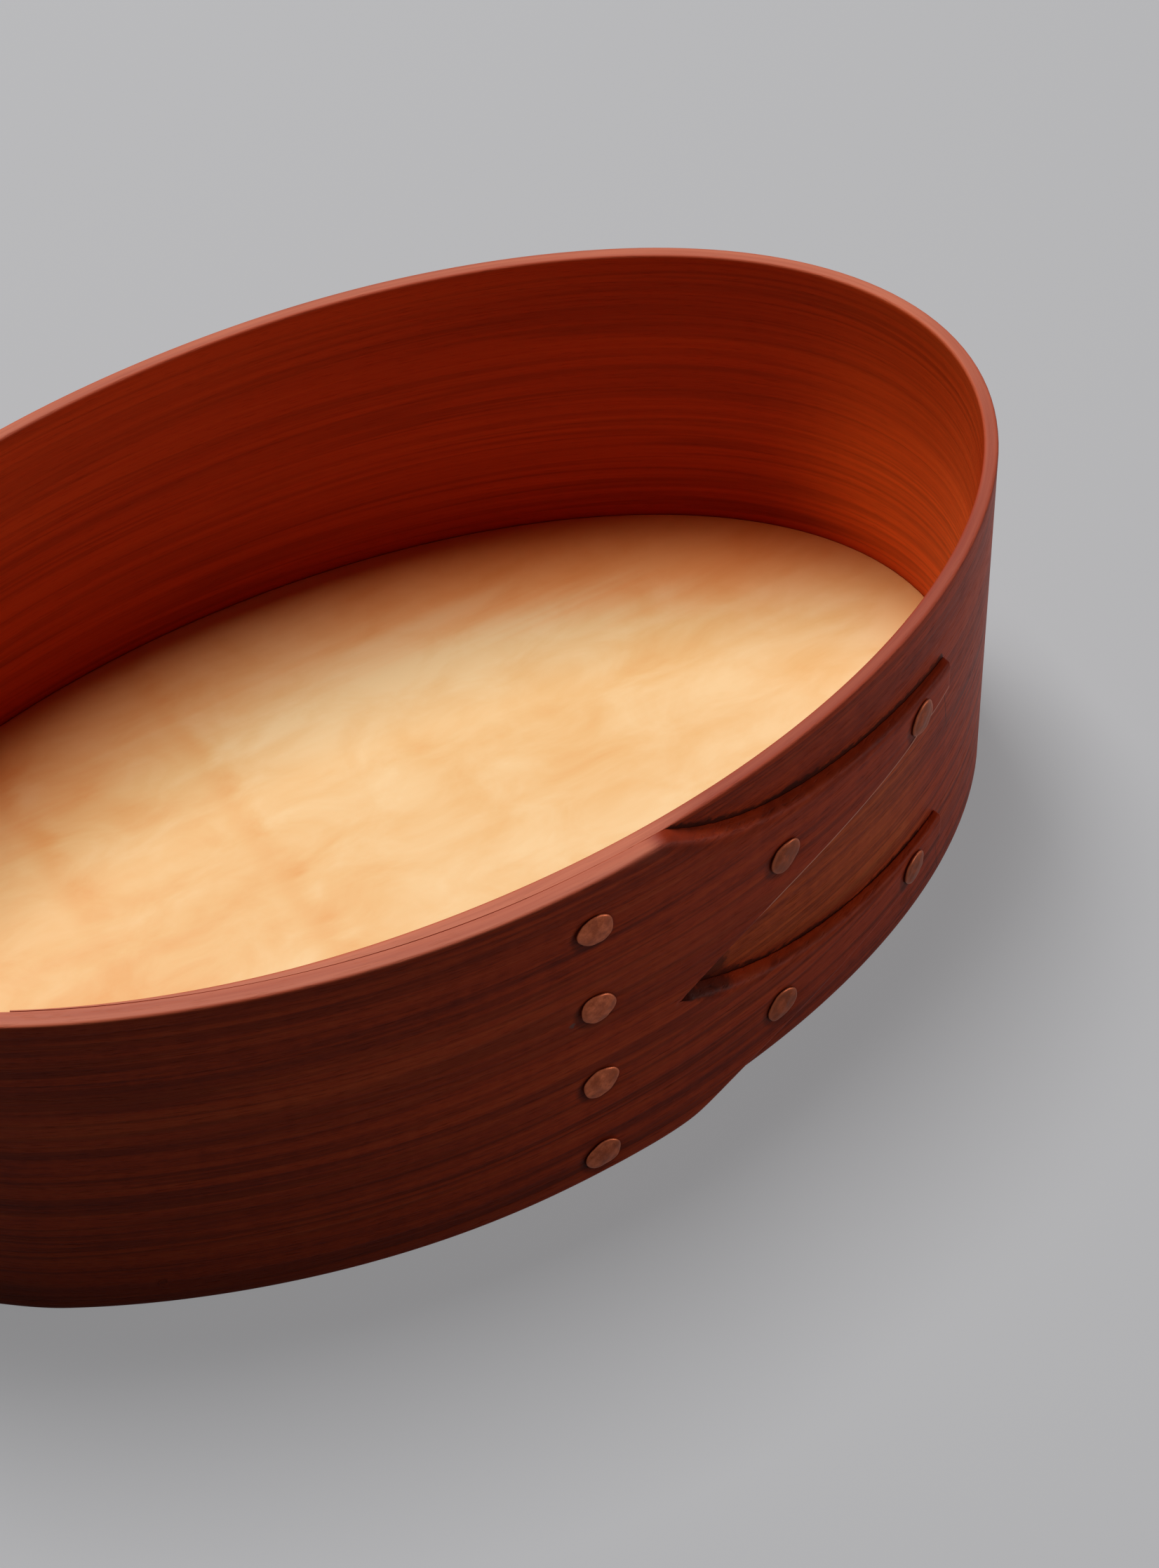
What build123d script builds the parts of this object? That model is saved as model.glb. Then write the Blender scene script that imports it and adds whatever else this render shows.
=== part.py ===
"""Open oval bentwood box: a lapped band with two swallowtail fingers, a bottom board, tacks and pegs."""
import os
from math import cos, pi

from build123d import *

os.makedirs("parts", exist_ok=True)

# All sizes are in millimetres. The origin is the middle of the underside, +X runs along the oval,
# the lapped front faces -Y and +Z is up. "Along" is measured on the band's inner face, from the
# middle of the front towards the finger tips; "out" is the distance outside that face.

# Oval and strip
INNER_LENGTH = 150.0
INNER_WIDTH = 86.4
BAND_HEIGHT = 48.0
BAND_THICKNESS = 1.6

# Inner end of the strip, shaved to a feather edge under the lap
FEATHER_REACH = 55.5
FEATHER_LENGTH = 52.0
FEATHER_EDGE = 0.15
LAP_GAP = 0.3
LAP_RISE = 10.0

# Outer end of the strip, cut into two tapering fingers
FINGER_REACH = 55.5
UPPER_ROOT = 11.5
GAP_ROOT = 13.5
LOWER_ROOT = 15.5
UPPER_FINGER_DROP = 13.2
LOWER_FINGER_RISE = 10.3
FINGER_TIP_THICKNESS = 0.7
BEVEL_SLOPE = 0.5
GAP_START = 0.3
GAP_DROP = 0.6

# Edges of the fingers, measured from each finger's middle line: the distance at the tip, the part of
# the widening that is a straight taper, and the power with which the rest flares out to the root
UPPER_TOP_TIP = 2.6
UPPER_TOP_TAPER = 5.0
UPPER_TOP_POWER = 5.0
UPPER_GAP_TIP = 1.85
UPPER_GAP_TAPER = 6.2
UPPER_GAP_POWER = 4.0
LOWER_FINGER_TIP = 2.3
LOWER_FINGER_TAPER = 3.2
LOWER_FINGER_POWER = 3.5

# Bottom board
BOARD_THICKNESS = 7.0
BOARD_CLEARANCE = 0.05

# Tacks, with heads hammered slightly into the wood and points clinched inside
HEAD_DIAMETER = 4.2
HEAD_EDGE = 0.3
HEAD_DOME = 0.25
HEAD_SINK = 0.12
SHANK_DIAMETER = 1.1
SHANK_CLEARANCE = 0.02
CLINCH_LENGTH = 2.4
CLINCH_TAPER = 8.0
BOARD_TACK_LENGTH = 9.0
BOARD_TACK_POINT = 2.0
COLUMN_ALONG = 2.0
COLUMN_TOP_MARGIN = 7.1
COLUMN_TACKS = 4
FINGER_MIDDLE_TACK = 26.0
FINGER_TIP_TACK = 49.0
MIDDLE_TACK_DROP = 0.9
TIP_TACK_DROP = 0.2

# Wooden pegs through the band into the edge of the board
BOARD_FIXINGS = 8
PEG_DIAMETER = 1.6
PEG_POINT_DIAMETER = 1.2
PEG_LENGTH = 12.0
PEG_CLEARANCE = 0.02

# Fineness of the curves and the overshoot of cutting shapes
STRIP_STEPS = 72
FINGER_STEPS = 10
CUT_LEAD = 4.0
CUT_MARGIN = 1.0

# Values that follow from the sizes above
former = EllipticalCenterArc(
    (0, 0), INNER_LENGTH / 2, INNER_WIDTH / 2, start_angle=-90, arc_size=360
)
oval_length = former.length
strip_length = FEATHER_REACH + oval_length + FINGER_REACH
upper_finger_height = BAND_HEIGHT - UPPER_FINGER_DROP
lower_finger_height = LOWER_FINGER_RISE
gap_height = (upper_finger_height + lower_finger_height) / 2 - GAP_DROP
upper_gap_root = upper_finger_height - gap_height - GAP_START / 2
lower_gap_root = gap_height - GAP_START / 2 - lower_finger_height
lap_inner_face = BAND_THICKNESS + LAP_GAP
board_tack_height = BOARD_THICKNESS / 2
fixing_pitch = oval_length / BOARD_FIXINGS


def ease(share):
    """Rise smoothly from 0 to 1 while share goes from 0 to 1."""
    return (1 - cos(pi * min(max(share, 0), 1))) / 2


def wall_tangent(along):
    """Direction of the band at a place along the oval."""
    return former % (along / oval_length % 1)


def wall_normal(along):
    """Outward direction, square to the band."""
    direction = wall_tangent(along)
    return Vector(direction.Y, -direction.X, 0)


def wall_point(along, out, height=0):
    """Point at a place along the oval, a distance out from the inner face, at a height."""
    return (former @ (along / oval_length % 1)) + wall_normal(along) * out + Vector(0, 0, height)


def face_plane(along, out, height):
    """Plane lying on the wall: x along the band, y up, z outward."""
    return Plane(wall_point(along, out, height), x_dir=wall_tangent(along), z_dir=wall_normal(along))


def section_plane(along):
    """Plane across the wall: x outward, y up."""
    return Plane(wall_point(along, 0), x_dir=wall_normal(along), z_dir=-wall_tangent(along))


def profile_plane(seat):
    """Plane through a fastener's axis: x along the band, y outward."""
    return Plane(seat.origin, x_dir=seat.x_dir, z_dir=-seat.y_dir)


def strip_thickness(run):
    """Thickness of the strip at a run from its feathered end."""
    feather = FEATHER_EDGE + (BAND_THICKNESS - FEATHER_EDGE) * ease(run / FEATHER_LENGTH)
    to_tip = min(1, (strip_length - run) / (FINGER_REACH - UPPER_ROOT))
    finger = FINGER_TIP_THICKNESS + (BAND_THICKNESS - FINGER_TIP_THICKNESS) * to_tip
    return min(feather, finger)


def strip_lift(run):
    """How far the strip's inner side stands off the oval, where it rides over its own feathered end."""
    over = run - oval_length
    if over < 0:
        return (FEATHER_EDGE + LAP_GAP) * ease(1 + over / LAP_RISE)
    return strip_thickness(over) + LAP_GAP


def outer_face(along, cover_end):
    """Distance out of the outermost layer, where the lap covers the wall up to cover_end."""
    run = (along + FEATHER_REACH) % oval_length
    if run < FEATHER_REACH + cover_end:
        run += oval_length
    return strip_lift(run) + strip_thickness(run)


def finger_edge(along, root, at_root, at_tip, taper, power):
    """Distance of a finger's edge from its middle line: a straight taper plus a flare at the root."""
    left = max(0, (FINGER_REACH - along) / (FINGER_REACH - root))
    return at_tip + taper * left + (at_root - at_tip - taper) * left**power


def upper_top_edge(along):
    """Height of the upper finger's top edge, where it lies on the layer below."""
    return upper_finger_height + finger_edge(
        along, UPPER_ROOT, UPPER_FINGER_DROP, UPPER_TOP_TIP, UPPER_TOP_TAPER, UPPER_TOP_POWER
    )


def upper_gap_edge(along):
    """Height of the upper finger's edge at the gap."""
    return upper_finger_height - finger_edge(
        along, GAP_ROOT, upper_gap_root, UPPER_GAP_TIP, UPPER_GAP_TAPER, UPPER_GAP_POWER
    )


def lower_gap_edge(along):
    """Height of the lower finger's edge at the gap."""
    return lower_finger_height + finger_edge(
        along, GAP_ROOT, lower_gap_root, LOWER_FINGER_TIP, LOWER_FINGER_TAPER, LOWER_FINGER_POWER
    )


def lower_bottom_edge(along):
    """Height of the lower finger's bottom edge."""
    return lower_finger_height - finger_edge(
        along, LOWER_ROOT, LOWER_FINGER_RISE, LOWER_FINGER_TIP, LOWER_FINGER_TAPER, LOWER_FINGER_POWER
    )


def stations(start):
    """Places along the wall for the sections of a cut beside the fingers."""
    reach = FINGER_REACH + CUT_LEAD - start
    return [start + reach * step / FINGER_STEPS for step in range(FINGER_STEPS + 1)]


# Clearances of the cutting shapes beside the fingers: they stop half way into the lap gap
cut_inside = BAND_THICKNESS + LAP_GAP / 2
cut_outside = lap_inner_face + BAND_THICKNESS + CUT_MARGIN
bevel_inside = BEVEL_SLOPE * (cut_inside - lap_inner_face)
bevel_outside = BEVEL_SLOPE * (cut_outside - lap_inner_face)

# Tack places: name, along, height
column_pitch = (BAND_HEIGHT - COLUMN_TOP_MARGIN - board_tack_height) / (COLUMN_TACKS - 1)
column_tacks = [
    (f"column_tack_{row + 1}", COLUMN_ALONG, BAND_HEIGHT - COLUMN_TOP_MARGIN - row * column_pitch)
    for row in range(COLUMN_TACKS - 1)
]
finger_tacks = [
    (f"{finger}_finger_{place}_tack", along, height - drop)
    for finger, height in (("upper", upper_finger_height), ("lower", lower_finger_height))
    for place, along, drop in (
        ("middle", FINGER_MIDDLE_TACK, MIDDLE_TACK_DROP),
        ("tip", FINGER_TIP_TACK, TIP_TACK_DROP),
    )
]
clinched_tacks = column_tacks + finger_tacks
board_tack_seat = face_plane(COLUMN_ALONG, outer_face(COLUMN_ALONG, FINGER_REACH), board_tack_height)
peg_seats = [
    face_plane(along, outer_face(along, LOWER_ROOT), board_tack_height)
    for along in (COLUMN_ALONG + fixing * fixing_pitch for fixing in range(1, BOARD_FIXINGS))
]

# Band: one strip bent once round the oval and lapped over its own feathered end
with BuildPart() as side_band:
    with BuildSketch():
        with BuildLine():
            runs = [strip_length * step / STRIP_STEPS for step in range(STRIP_STEPS + 1)]
            inside = Spline(*[wall_point(run - FEATHER_REACH, strip_lift(run)) for run in runs])
            outside = Spline(
                *[wall_point(run - FEATHER_REACH, strip_lift(run) + strip_thickness(run)) for run in runs]
            )
            Line(inside @ 0, outside @ 0)
            Line(inside @ 1, outside @ 1)
        make_face()
    extrude(amount=BAND_HEIGHT)

    # wood cut away above the upper finger
    for along in stations(UPPER_ROOT - CUT_LEAD):
        edge = upper_top_edge(along)
        with BuildSketch(section_plane(along)):
            Polygon(
                (cut_inside, edge - bevel_inside),
                (cut_outside, edge - bevel_outside),
                (cut_outside, BAND_HEIGHT + UPPER_FINGER_DROP),
                (cut_inside, BAND_HEIGHT + UPPER_FINGER_DROP),
                align=None,
            )
    loft(mode=Mode.SUBTRACT)

    # pointed gap between the two fingers
    for along in stations(GAP_ROOT):
        below, above = lower_gap_edge(along), upper_gap_edge(along)
        with BuildSketch(section_plane(along)):
            Polygon(
                (cut_inside, below - bevel_inside),
                (cut_outside, below - bevel_outside),
                (cut_outside, above + bevel_outside),
                (cut_inside, above + bevel_inside),
                align=None,
            )
    loft(mode=Mode.SUBTRACT)

    # wood cut away below the lower finger
    for along in stations(LOWER_ROOT - CUT_LEAD):
        edge = lower_bottom_edge(along)
        with BuildSketch(section_plane(along)):
            Polygon(
                (cut_inside, edge + bevel_inside),
                (cut_outside, edge + bevel_outside),
                (cut_outside, -LOWER_FINGER_RISE),
                (cut_inside, -LOWER_FINGER_RISE),
                align=None,
            )
    loft(mode=Mode.SUBTRACT)

    # seats and holes of the tacks, then of the pegs
    tack_seats = [face_plane(along, outer_face(along, FINGER_REACH), height)
                  for _, along, height in clinched_tacks]
    with Locations(*tack_seats, board_tack_seat):
        CounterBoreHole(
            radius=SHANK_DIAMETER / 2 + SHANK_CLEARANCE,
            counter_bore_radius=HEAD_DIAMETER / 2 + SHANK_CLEARANCE,
            counter_bore_depth=HEAD_SINK,
            depth=cut_outside,
        )
    with Locations(*peg_seats):
        Hole(radius=PEG_DIAMETER / 2 + PEG_CLEARANCE, depth=cut_outside)
side_band.part.label = "side_band"
export_step(side_band.part, "parts/side_band.step")

# Bottom board, flush with the lower edge of the band
with BuildPart() as bottom_board:
    with BuildSketch():
        Ellipse(INNER_LENGTH / 2 - BOARD_CLEARANCE, INNER_WIDTH / 2 - BOARD_CLEARANCE)
    extrude(amount=BOARD_THICKNESS)
    with Locations(board_tack_seat):
        Hole(radius=SHANK_DIAMETER / 2 + SHANK_CLEARANCE, depth=BOARD_TACK_LENGTH)
    with Locations(*peg_seats):
        Hole(radius=PEG_DIAMETER / 2 + PEG_CLEARANCE, depth=PEG_LENGTH)
bottom_board.part.label = "bottom_board"
export_step(bottom_board.part, "parts/bottom_board.step")


def tack_head_line():
    """Half outline of a low domed tack head, from the middle of its crown to the shank."""
    crown = HEAD_EDGE + HEAD_DOME - HEAD_SINK
    rim = HEAD_EDGE - HEAD_SINK
    ThreePointArc(
        (0, crown),
        (HEAD_DIAMETER / 4, rim + HEAD_DOME * 3 / 4),
        (HEAD_DIAMETER / 2, rim),
    )
    Polyline(
        (HEAD_DIAMETER / 2, rim),
        (HEAD_DIAMETER / 2, -HEAD_SINK),
        (SHANK_DIAMETER / 2, -HEAD_SINK),
    )


# Tacks through both layers of the lap, each point bent over flat on the inside of the band
for name, along, height in clinched_tacks:
    grip = outer_face(along, FINGER_REACH)
    seat = face_plane(along, grip, height)
    with BuildPart() as tack:
        with BuildSketch(profile_plane(seat)):
            with BuildLine():
                tack_head_line()
                Polyline(
                    (SHANK_DIAMETER / 2, -HEAD_SINK),
                    (SHANK_DIAMETER / 2, -grip - SHANK_DIAMETER),
                    (0, -grip - SHANK_DIAMETER),
                    (0, HEAD_EDGE + HEAD_DOME - HEAD_SINK),
                )
            make_face()
        revolve(axis=Axis(seat.origin, seat.z_dir))
        with BuildSketch(section_plane(along)):
            with Locations((-SHANK_DIAMETER / 2, height)):
                Circle(SHANK_DIAMETER / 2)
        extrude(amount=-CLINCH_LENGTH, taper=CLINCH_TAPER)
    tack.part.label = name
    export_step(tack.part, f"parts/{name}.step")

# Tack through the lap into the edge of the board
with BuildPart() as board_tack:
    with BuildSketch(profile_plane(board_tack_seat)):
        with BuildLine():
            tack_head_line()
            Polyline(
                (SHANK_DIAMETER / 2, -HEAD_SINK),
                (SHANK_DIAMETER / 2, BOARD_TACK_POINT - BOARD_TACK_LENGTH),
                (0, -BOARD_TACK_LENGTH),
                (0, HEAD_EDGE + HEAD_DOME - HEAD_SINK),
            )
        make_face()
    revolve(axis=Axis(board_tack_seat.origin, board_tack_seat.z_dir))
board_tack.part.label = "board_tack"
export_step(board_tack.part, "parts/board_tack.step")

# Pegs, trimmed flush with the outside of the band
for number, seat in enumerate(peg_seats, start=1):
    with BuildPart() as peg:
        with BuildSketch(seat):
            Circle(PEG_DIAMETER / 2)
        with BuildSketch(seat.offset(-PEG_LENGTH)):
            Circle(PEG_POINT_DIAMETER / 2)
        loft()
    peg.part.label = f"board_peg_{number}"
    export_step(peg.part, f"parts/board_peg_{number}.step")
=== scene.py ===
"""Dress the oval bentwood box: cherry band, maple bottom board, copper tacks and wooden pegs."""

import logging
import math
from dataclasses import dataclass, field
from enum import Enum
from functools import cached_property
from typing import Any, Sequence, Union

import bmesh
import bpy
import numpy as np
from mathutils import Matrix, Vector


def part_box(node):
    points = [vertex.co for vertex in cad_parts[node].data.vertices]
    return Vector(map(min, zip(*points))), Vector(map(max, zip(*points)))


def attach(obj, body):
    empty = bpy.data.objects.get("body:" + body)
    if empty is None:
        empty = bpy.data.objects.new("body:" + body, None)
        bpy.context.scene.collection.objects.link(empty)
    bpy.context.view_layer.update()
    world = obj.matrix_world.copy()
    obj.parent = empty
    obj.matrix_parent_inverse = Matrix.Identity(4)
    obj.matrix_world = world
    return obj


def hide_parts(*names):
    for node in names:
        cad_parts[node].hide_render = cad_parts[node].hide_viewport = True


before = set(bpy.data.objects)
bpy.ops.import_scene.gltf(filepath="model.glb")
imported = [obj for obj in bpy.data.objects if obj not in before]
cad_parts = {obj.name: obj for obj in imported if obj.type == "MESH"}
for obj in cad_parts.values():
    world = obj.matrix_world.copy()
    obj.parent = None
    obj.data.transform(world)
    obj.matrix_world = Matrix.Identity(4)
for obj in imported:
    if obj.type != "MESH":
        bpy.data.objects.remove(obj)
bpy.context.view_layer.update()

log = logging.getLogger("bentwood_box")

MM = 0.001
PICTURE_HEIGHT = 2235
HEAD_RADIUS = 2.1 * MM
CLOSED = 1e-9

Array = np.ndarray
Triple = tuple[float, float, float]
Colour = tuple[float, float, float, float]


class Slot(Enum):
    """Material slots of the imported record."""

    CHERRY = "cherry_band"
    MAPLE = "maple_board"
    COPPER = "copper_tack"
    PEG = "wood_peg"


class Limb(Enum):
    """The two halves of the strip, which part at the gap between the fingers."""

    UPPER = "upper"
    LOWER = "lower"


class Point(Enum):
    """What happens to the end of a tack."""

    CLINCHED = "bent over on the inside of the band"
    DRIVEN = "driven straight into the edge of the board"


class Signal:
    """A node socket whose arithmetic adds Math nodes."""

    def __init__(self, desk: "Desk", socket: bpy.types.NodeSocket) -> None:
        """Keep the socket and the desk that it belongs to."""
        self.desk = desk
        self.socket = socket

    def __add__(self, other: "Value") -> "Signal":
        """Sum."""
        return self.desk.maths("ADD", self, other)

    def __radd__(self, other: "Value") -> "Signal":
        """Sum with a plain number first."""
        return self.desk.maths("ADD", other, self)

    def __sub__(self, other: "Value") -> "Signal":
        """Difference."""
        return self.desk.maths("SUBTRACT", self, other)

    def __rsub__(self, other: "Value") -> "Signal":
        """Difference from a plain number."""
        return self.desk.maths("SUBTRACT", other, self)

    def __mul__(self, other: "Value") -> "Signal":
        """Product."""
        return self.desk.maths("MULTIPLY", self, other)

    def __rmul__(self, other: "Value") -> "Signal":
        """Product with a plain number first."""
        return self.desk.maths("MULTIPLY", other, self)

    def __truediv__(self, other: "Value") -> "Signal":
        """Quotient."""
        return self.desk.maths("DIVIDE", self, other)

    def __rtruediv__(self, other: "Value") -> "Signal":
        """Quotient of a plain number."""
        return self.desk.maths("DIVIDE", other, self)

    def __pow__(self, other: "Value") -> "Signal":
        """Power."""
        return self.desk.maths("POWER", self, other)

    def __rpow__(self, other: "Value") -> "Signal":
        """Power of a plain number."""
        return self.desk.maths("POWER", other, self)

    def __abs__(self) -> "Signal":
        """Size without its sign."""
        return self.desk.maths("ABSOLUTE", self, 0.0)

    def either(self, other: "Value") -> "Signal":
        """The larger of two values."""
        return self.desk.maths("MAXIMUM", self, other)

    def step(self, low: float, high: float) -> "Signal":
        """Rise smoothly from 0 at low to 1 at high; falls when low is above high.

        Args:
            low: Value that gives 0.
            high: Value that gives 1.

        Returns:
            The smooth step.
        """
        made = self.desk.node(
            "ShaderNodeMapRange",
            {"interpolation_type": "SMOOTHSTEP"},
            {"Value": self, "From Min": low, "From Max": high, "To Min": 0.0, "To Max": 1.0},
        )
        return self.desk.out(made)


Value = Union[Signal, float]
Tint = Union[Signal, Colour]


@dataclass(frozen=True)
class Noise:
    """A stretched noise: features per metre on each axis, octaves, weight of the fine ones, warp."""

    scale: Triple
    detail: float = 2.0
    roughness: float = 0.5
    distortion: float = 0.0


class Desk:
    """A node tree that is written as expressions."""

    def __init__(self, tree: bpy.types.NodeTree) -> None:
        """Start from an empty tree."""
        self.tree = tree
        self.tree.nodes.clear()

    def node(
        self,
        kind: str,
        settings: dict[str, Any] | None = None,
        inputs: dict[str | int, Any] | None = None,
    ) -> bpy.types.Node:
        """Add any node.

        Args:
            kind: Blender's name of the node type.
            settings: Properties, set first; "stops" holds a ramp's (position, colour) pairs.
            inputs: Values or signals by socket name or number.

        Returns:
            The new node.
        """
        made = self.tree.nodes.new(kind)
        for key, value in (settings or {}).items():
            if key == "stops":
                self._ramp_stops(made.color_ramp, value)
            else:
                setattr(made, key, value)
        for key, value in (inputs or {}).items():
            if isinstance(value, Signal):
                self.tree.links.new(value.socket, made.inputs[key])
            else:
                made.inputs[key].default_value = value
        return made

    @staticmethod
    def _ramp_stops(ramp: bpy.types.ColorRamp, stops: Sequence[tuple[float, Colour]]) -> None:
        """Give a ramp its stops.

        Args:
            ramp: The ramp of a new node.
            stops: Positions and colours.
        """
        while len(ramp.elements) < len(stops):
            ramp.elements.new(1.0)
        for element, (position, colour) in zip(ramp.elements, stops):
            element.position = position
            element.color = colour

    def out(self, node: bpy.types.Node, name: str | int = 0) -> Signal:
        """Signal of a node's output."""
        return Signal(self, node.outputs[name])

    def maths(self, operation: str, first: Value, second: Value) -> Signal:
        """Math node on two values."""
        return self.out(self.node("ShaderNodeMath", {"operation": operation}, {0: first, 1: second}))

    def blend(self, share: Value, first: Tint, second: Tint, mode: str = "MIX") -> Signal:
        """Mix two colours.

        Args:
            share: 0 for the first colour, 1 for the second.
            first: Colour at 0.
            second: Colour at 1.
            mode: Blend type of the Mix node.

        Returns:
            The mixed colour.
        """
        made = self.node(
            "ShaderNodeMix",
            {"data_type": "RGBA", "blend_type": mode},
            {0: share, 6: first, 7: second},
        )
        return self.out(made, 2)

    def parts(self, vector: Signal) -> tuple[Signal, Signal, Signal]:
        """The three numbers of a vector."""
        made = self.node("ShaderNodeSeparateXYZ", inputs={0: vector})
        return self.out(made, 0), self.out(made, 1), self.out(made, 2)

    def stretch(self, place: Signal, scale: Triple) -> Signal:
        """Multiply a place by a scale on each axis."""
        made = self.node("ShaderNodeVectorMath", {"operation": "MULTIPLY"}, {0: place, 1: scale})
        return self.out(made)

    def grain(self, place: Signal, noise: Noise) -> Signal:
        """Read a noise.

        Args:
            place: Where it is read, in metres.
            noise: Which noise.

        Returns:
            Noise between 0 and 1, around 0.5.
        """
        made = self.node(
            "ShaderNodeTexNoise",
            {"noise_dimensions": "3D"},
            {
                "Vector": self.stretch(place, noise.scale),
                "Scale": 1.0,
                "Detail": noise.detail,
                "Roughness": noise.roughness,
                "Distortion": noise.distortion,
            },
        )
        return self.out(made)

    def ramp(self, share: Value, stops: Sequence[tuple[float, Colour]]) -> Signal:
        """Colour ramp, straight from stop to stop."""
        return self.out(self.node("ShaderNodeValToRGB", {"stops": stops}, {"Fac": share}))

    def attribute(self, name: str, output: str) -> Signal:
        """Attribute of the piece's own points."""
        made = self.node("ShaderNodeAttribute", {"attribute_type": "GEOMETRY", "attribute_name": name})
        return self.out(made, output)

    def object_place(self) -> Signal:
        """Object coordinates, in metres."""
        return self.out(self.node("ShaderNodeTexCoord"), "Object")

    def bump(self, height: Signal, strength: float, distance: float) -> Signal:
        """Normal bent by a height."""
        made = self.node(
            "ShaderNodeBump", inputs={"Height": height, "Strength": strength, "Distance": distance}
        )
        return self.out(made)

    def between(self, share: Value, first: bpy.types.Node, second: bpy.types.Node) -> bpy.types.Node:
        """Shader mixed from two shaders: 0 for the first, 1 for the second."""
        inputs = {0: share, 1: self.out(first), 2: self.out(second)}
        return self.node("ShaderNodeMixShader", inputs=inputs)

    def surface(self, inputs: dict[str, Any]) -> None:
        """Principled shader with these values or signals, on the material's output."""
        shader = self.node("ShaderNodeBsdfPrincipled", inputs=inputs)
        self.node("ShaderNodeOutputMaterial", inputs={"Surface": self.out(shader)})


def rgb(red: float, green: float, blue: float) -> Colour:
    """Opaque colour from linear values."""
    return (red, green, blue, 1.0)


def new_desk(name: str) -> tuple[bpy.types.Material, Desk]:
    """Start a material.

    Args:
        name: Name of the material.

    Returns:
        The material and the desk that writes its nodes.
    """
    material = bpy.data.materials.new(name)
    material.use_nodes = True
    return material, Desk(material.node_tree)


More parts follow.
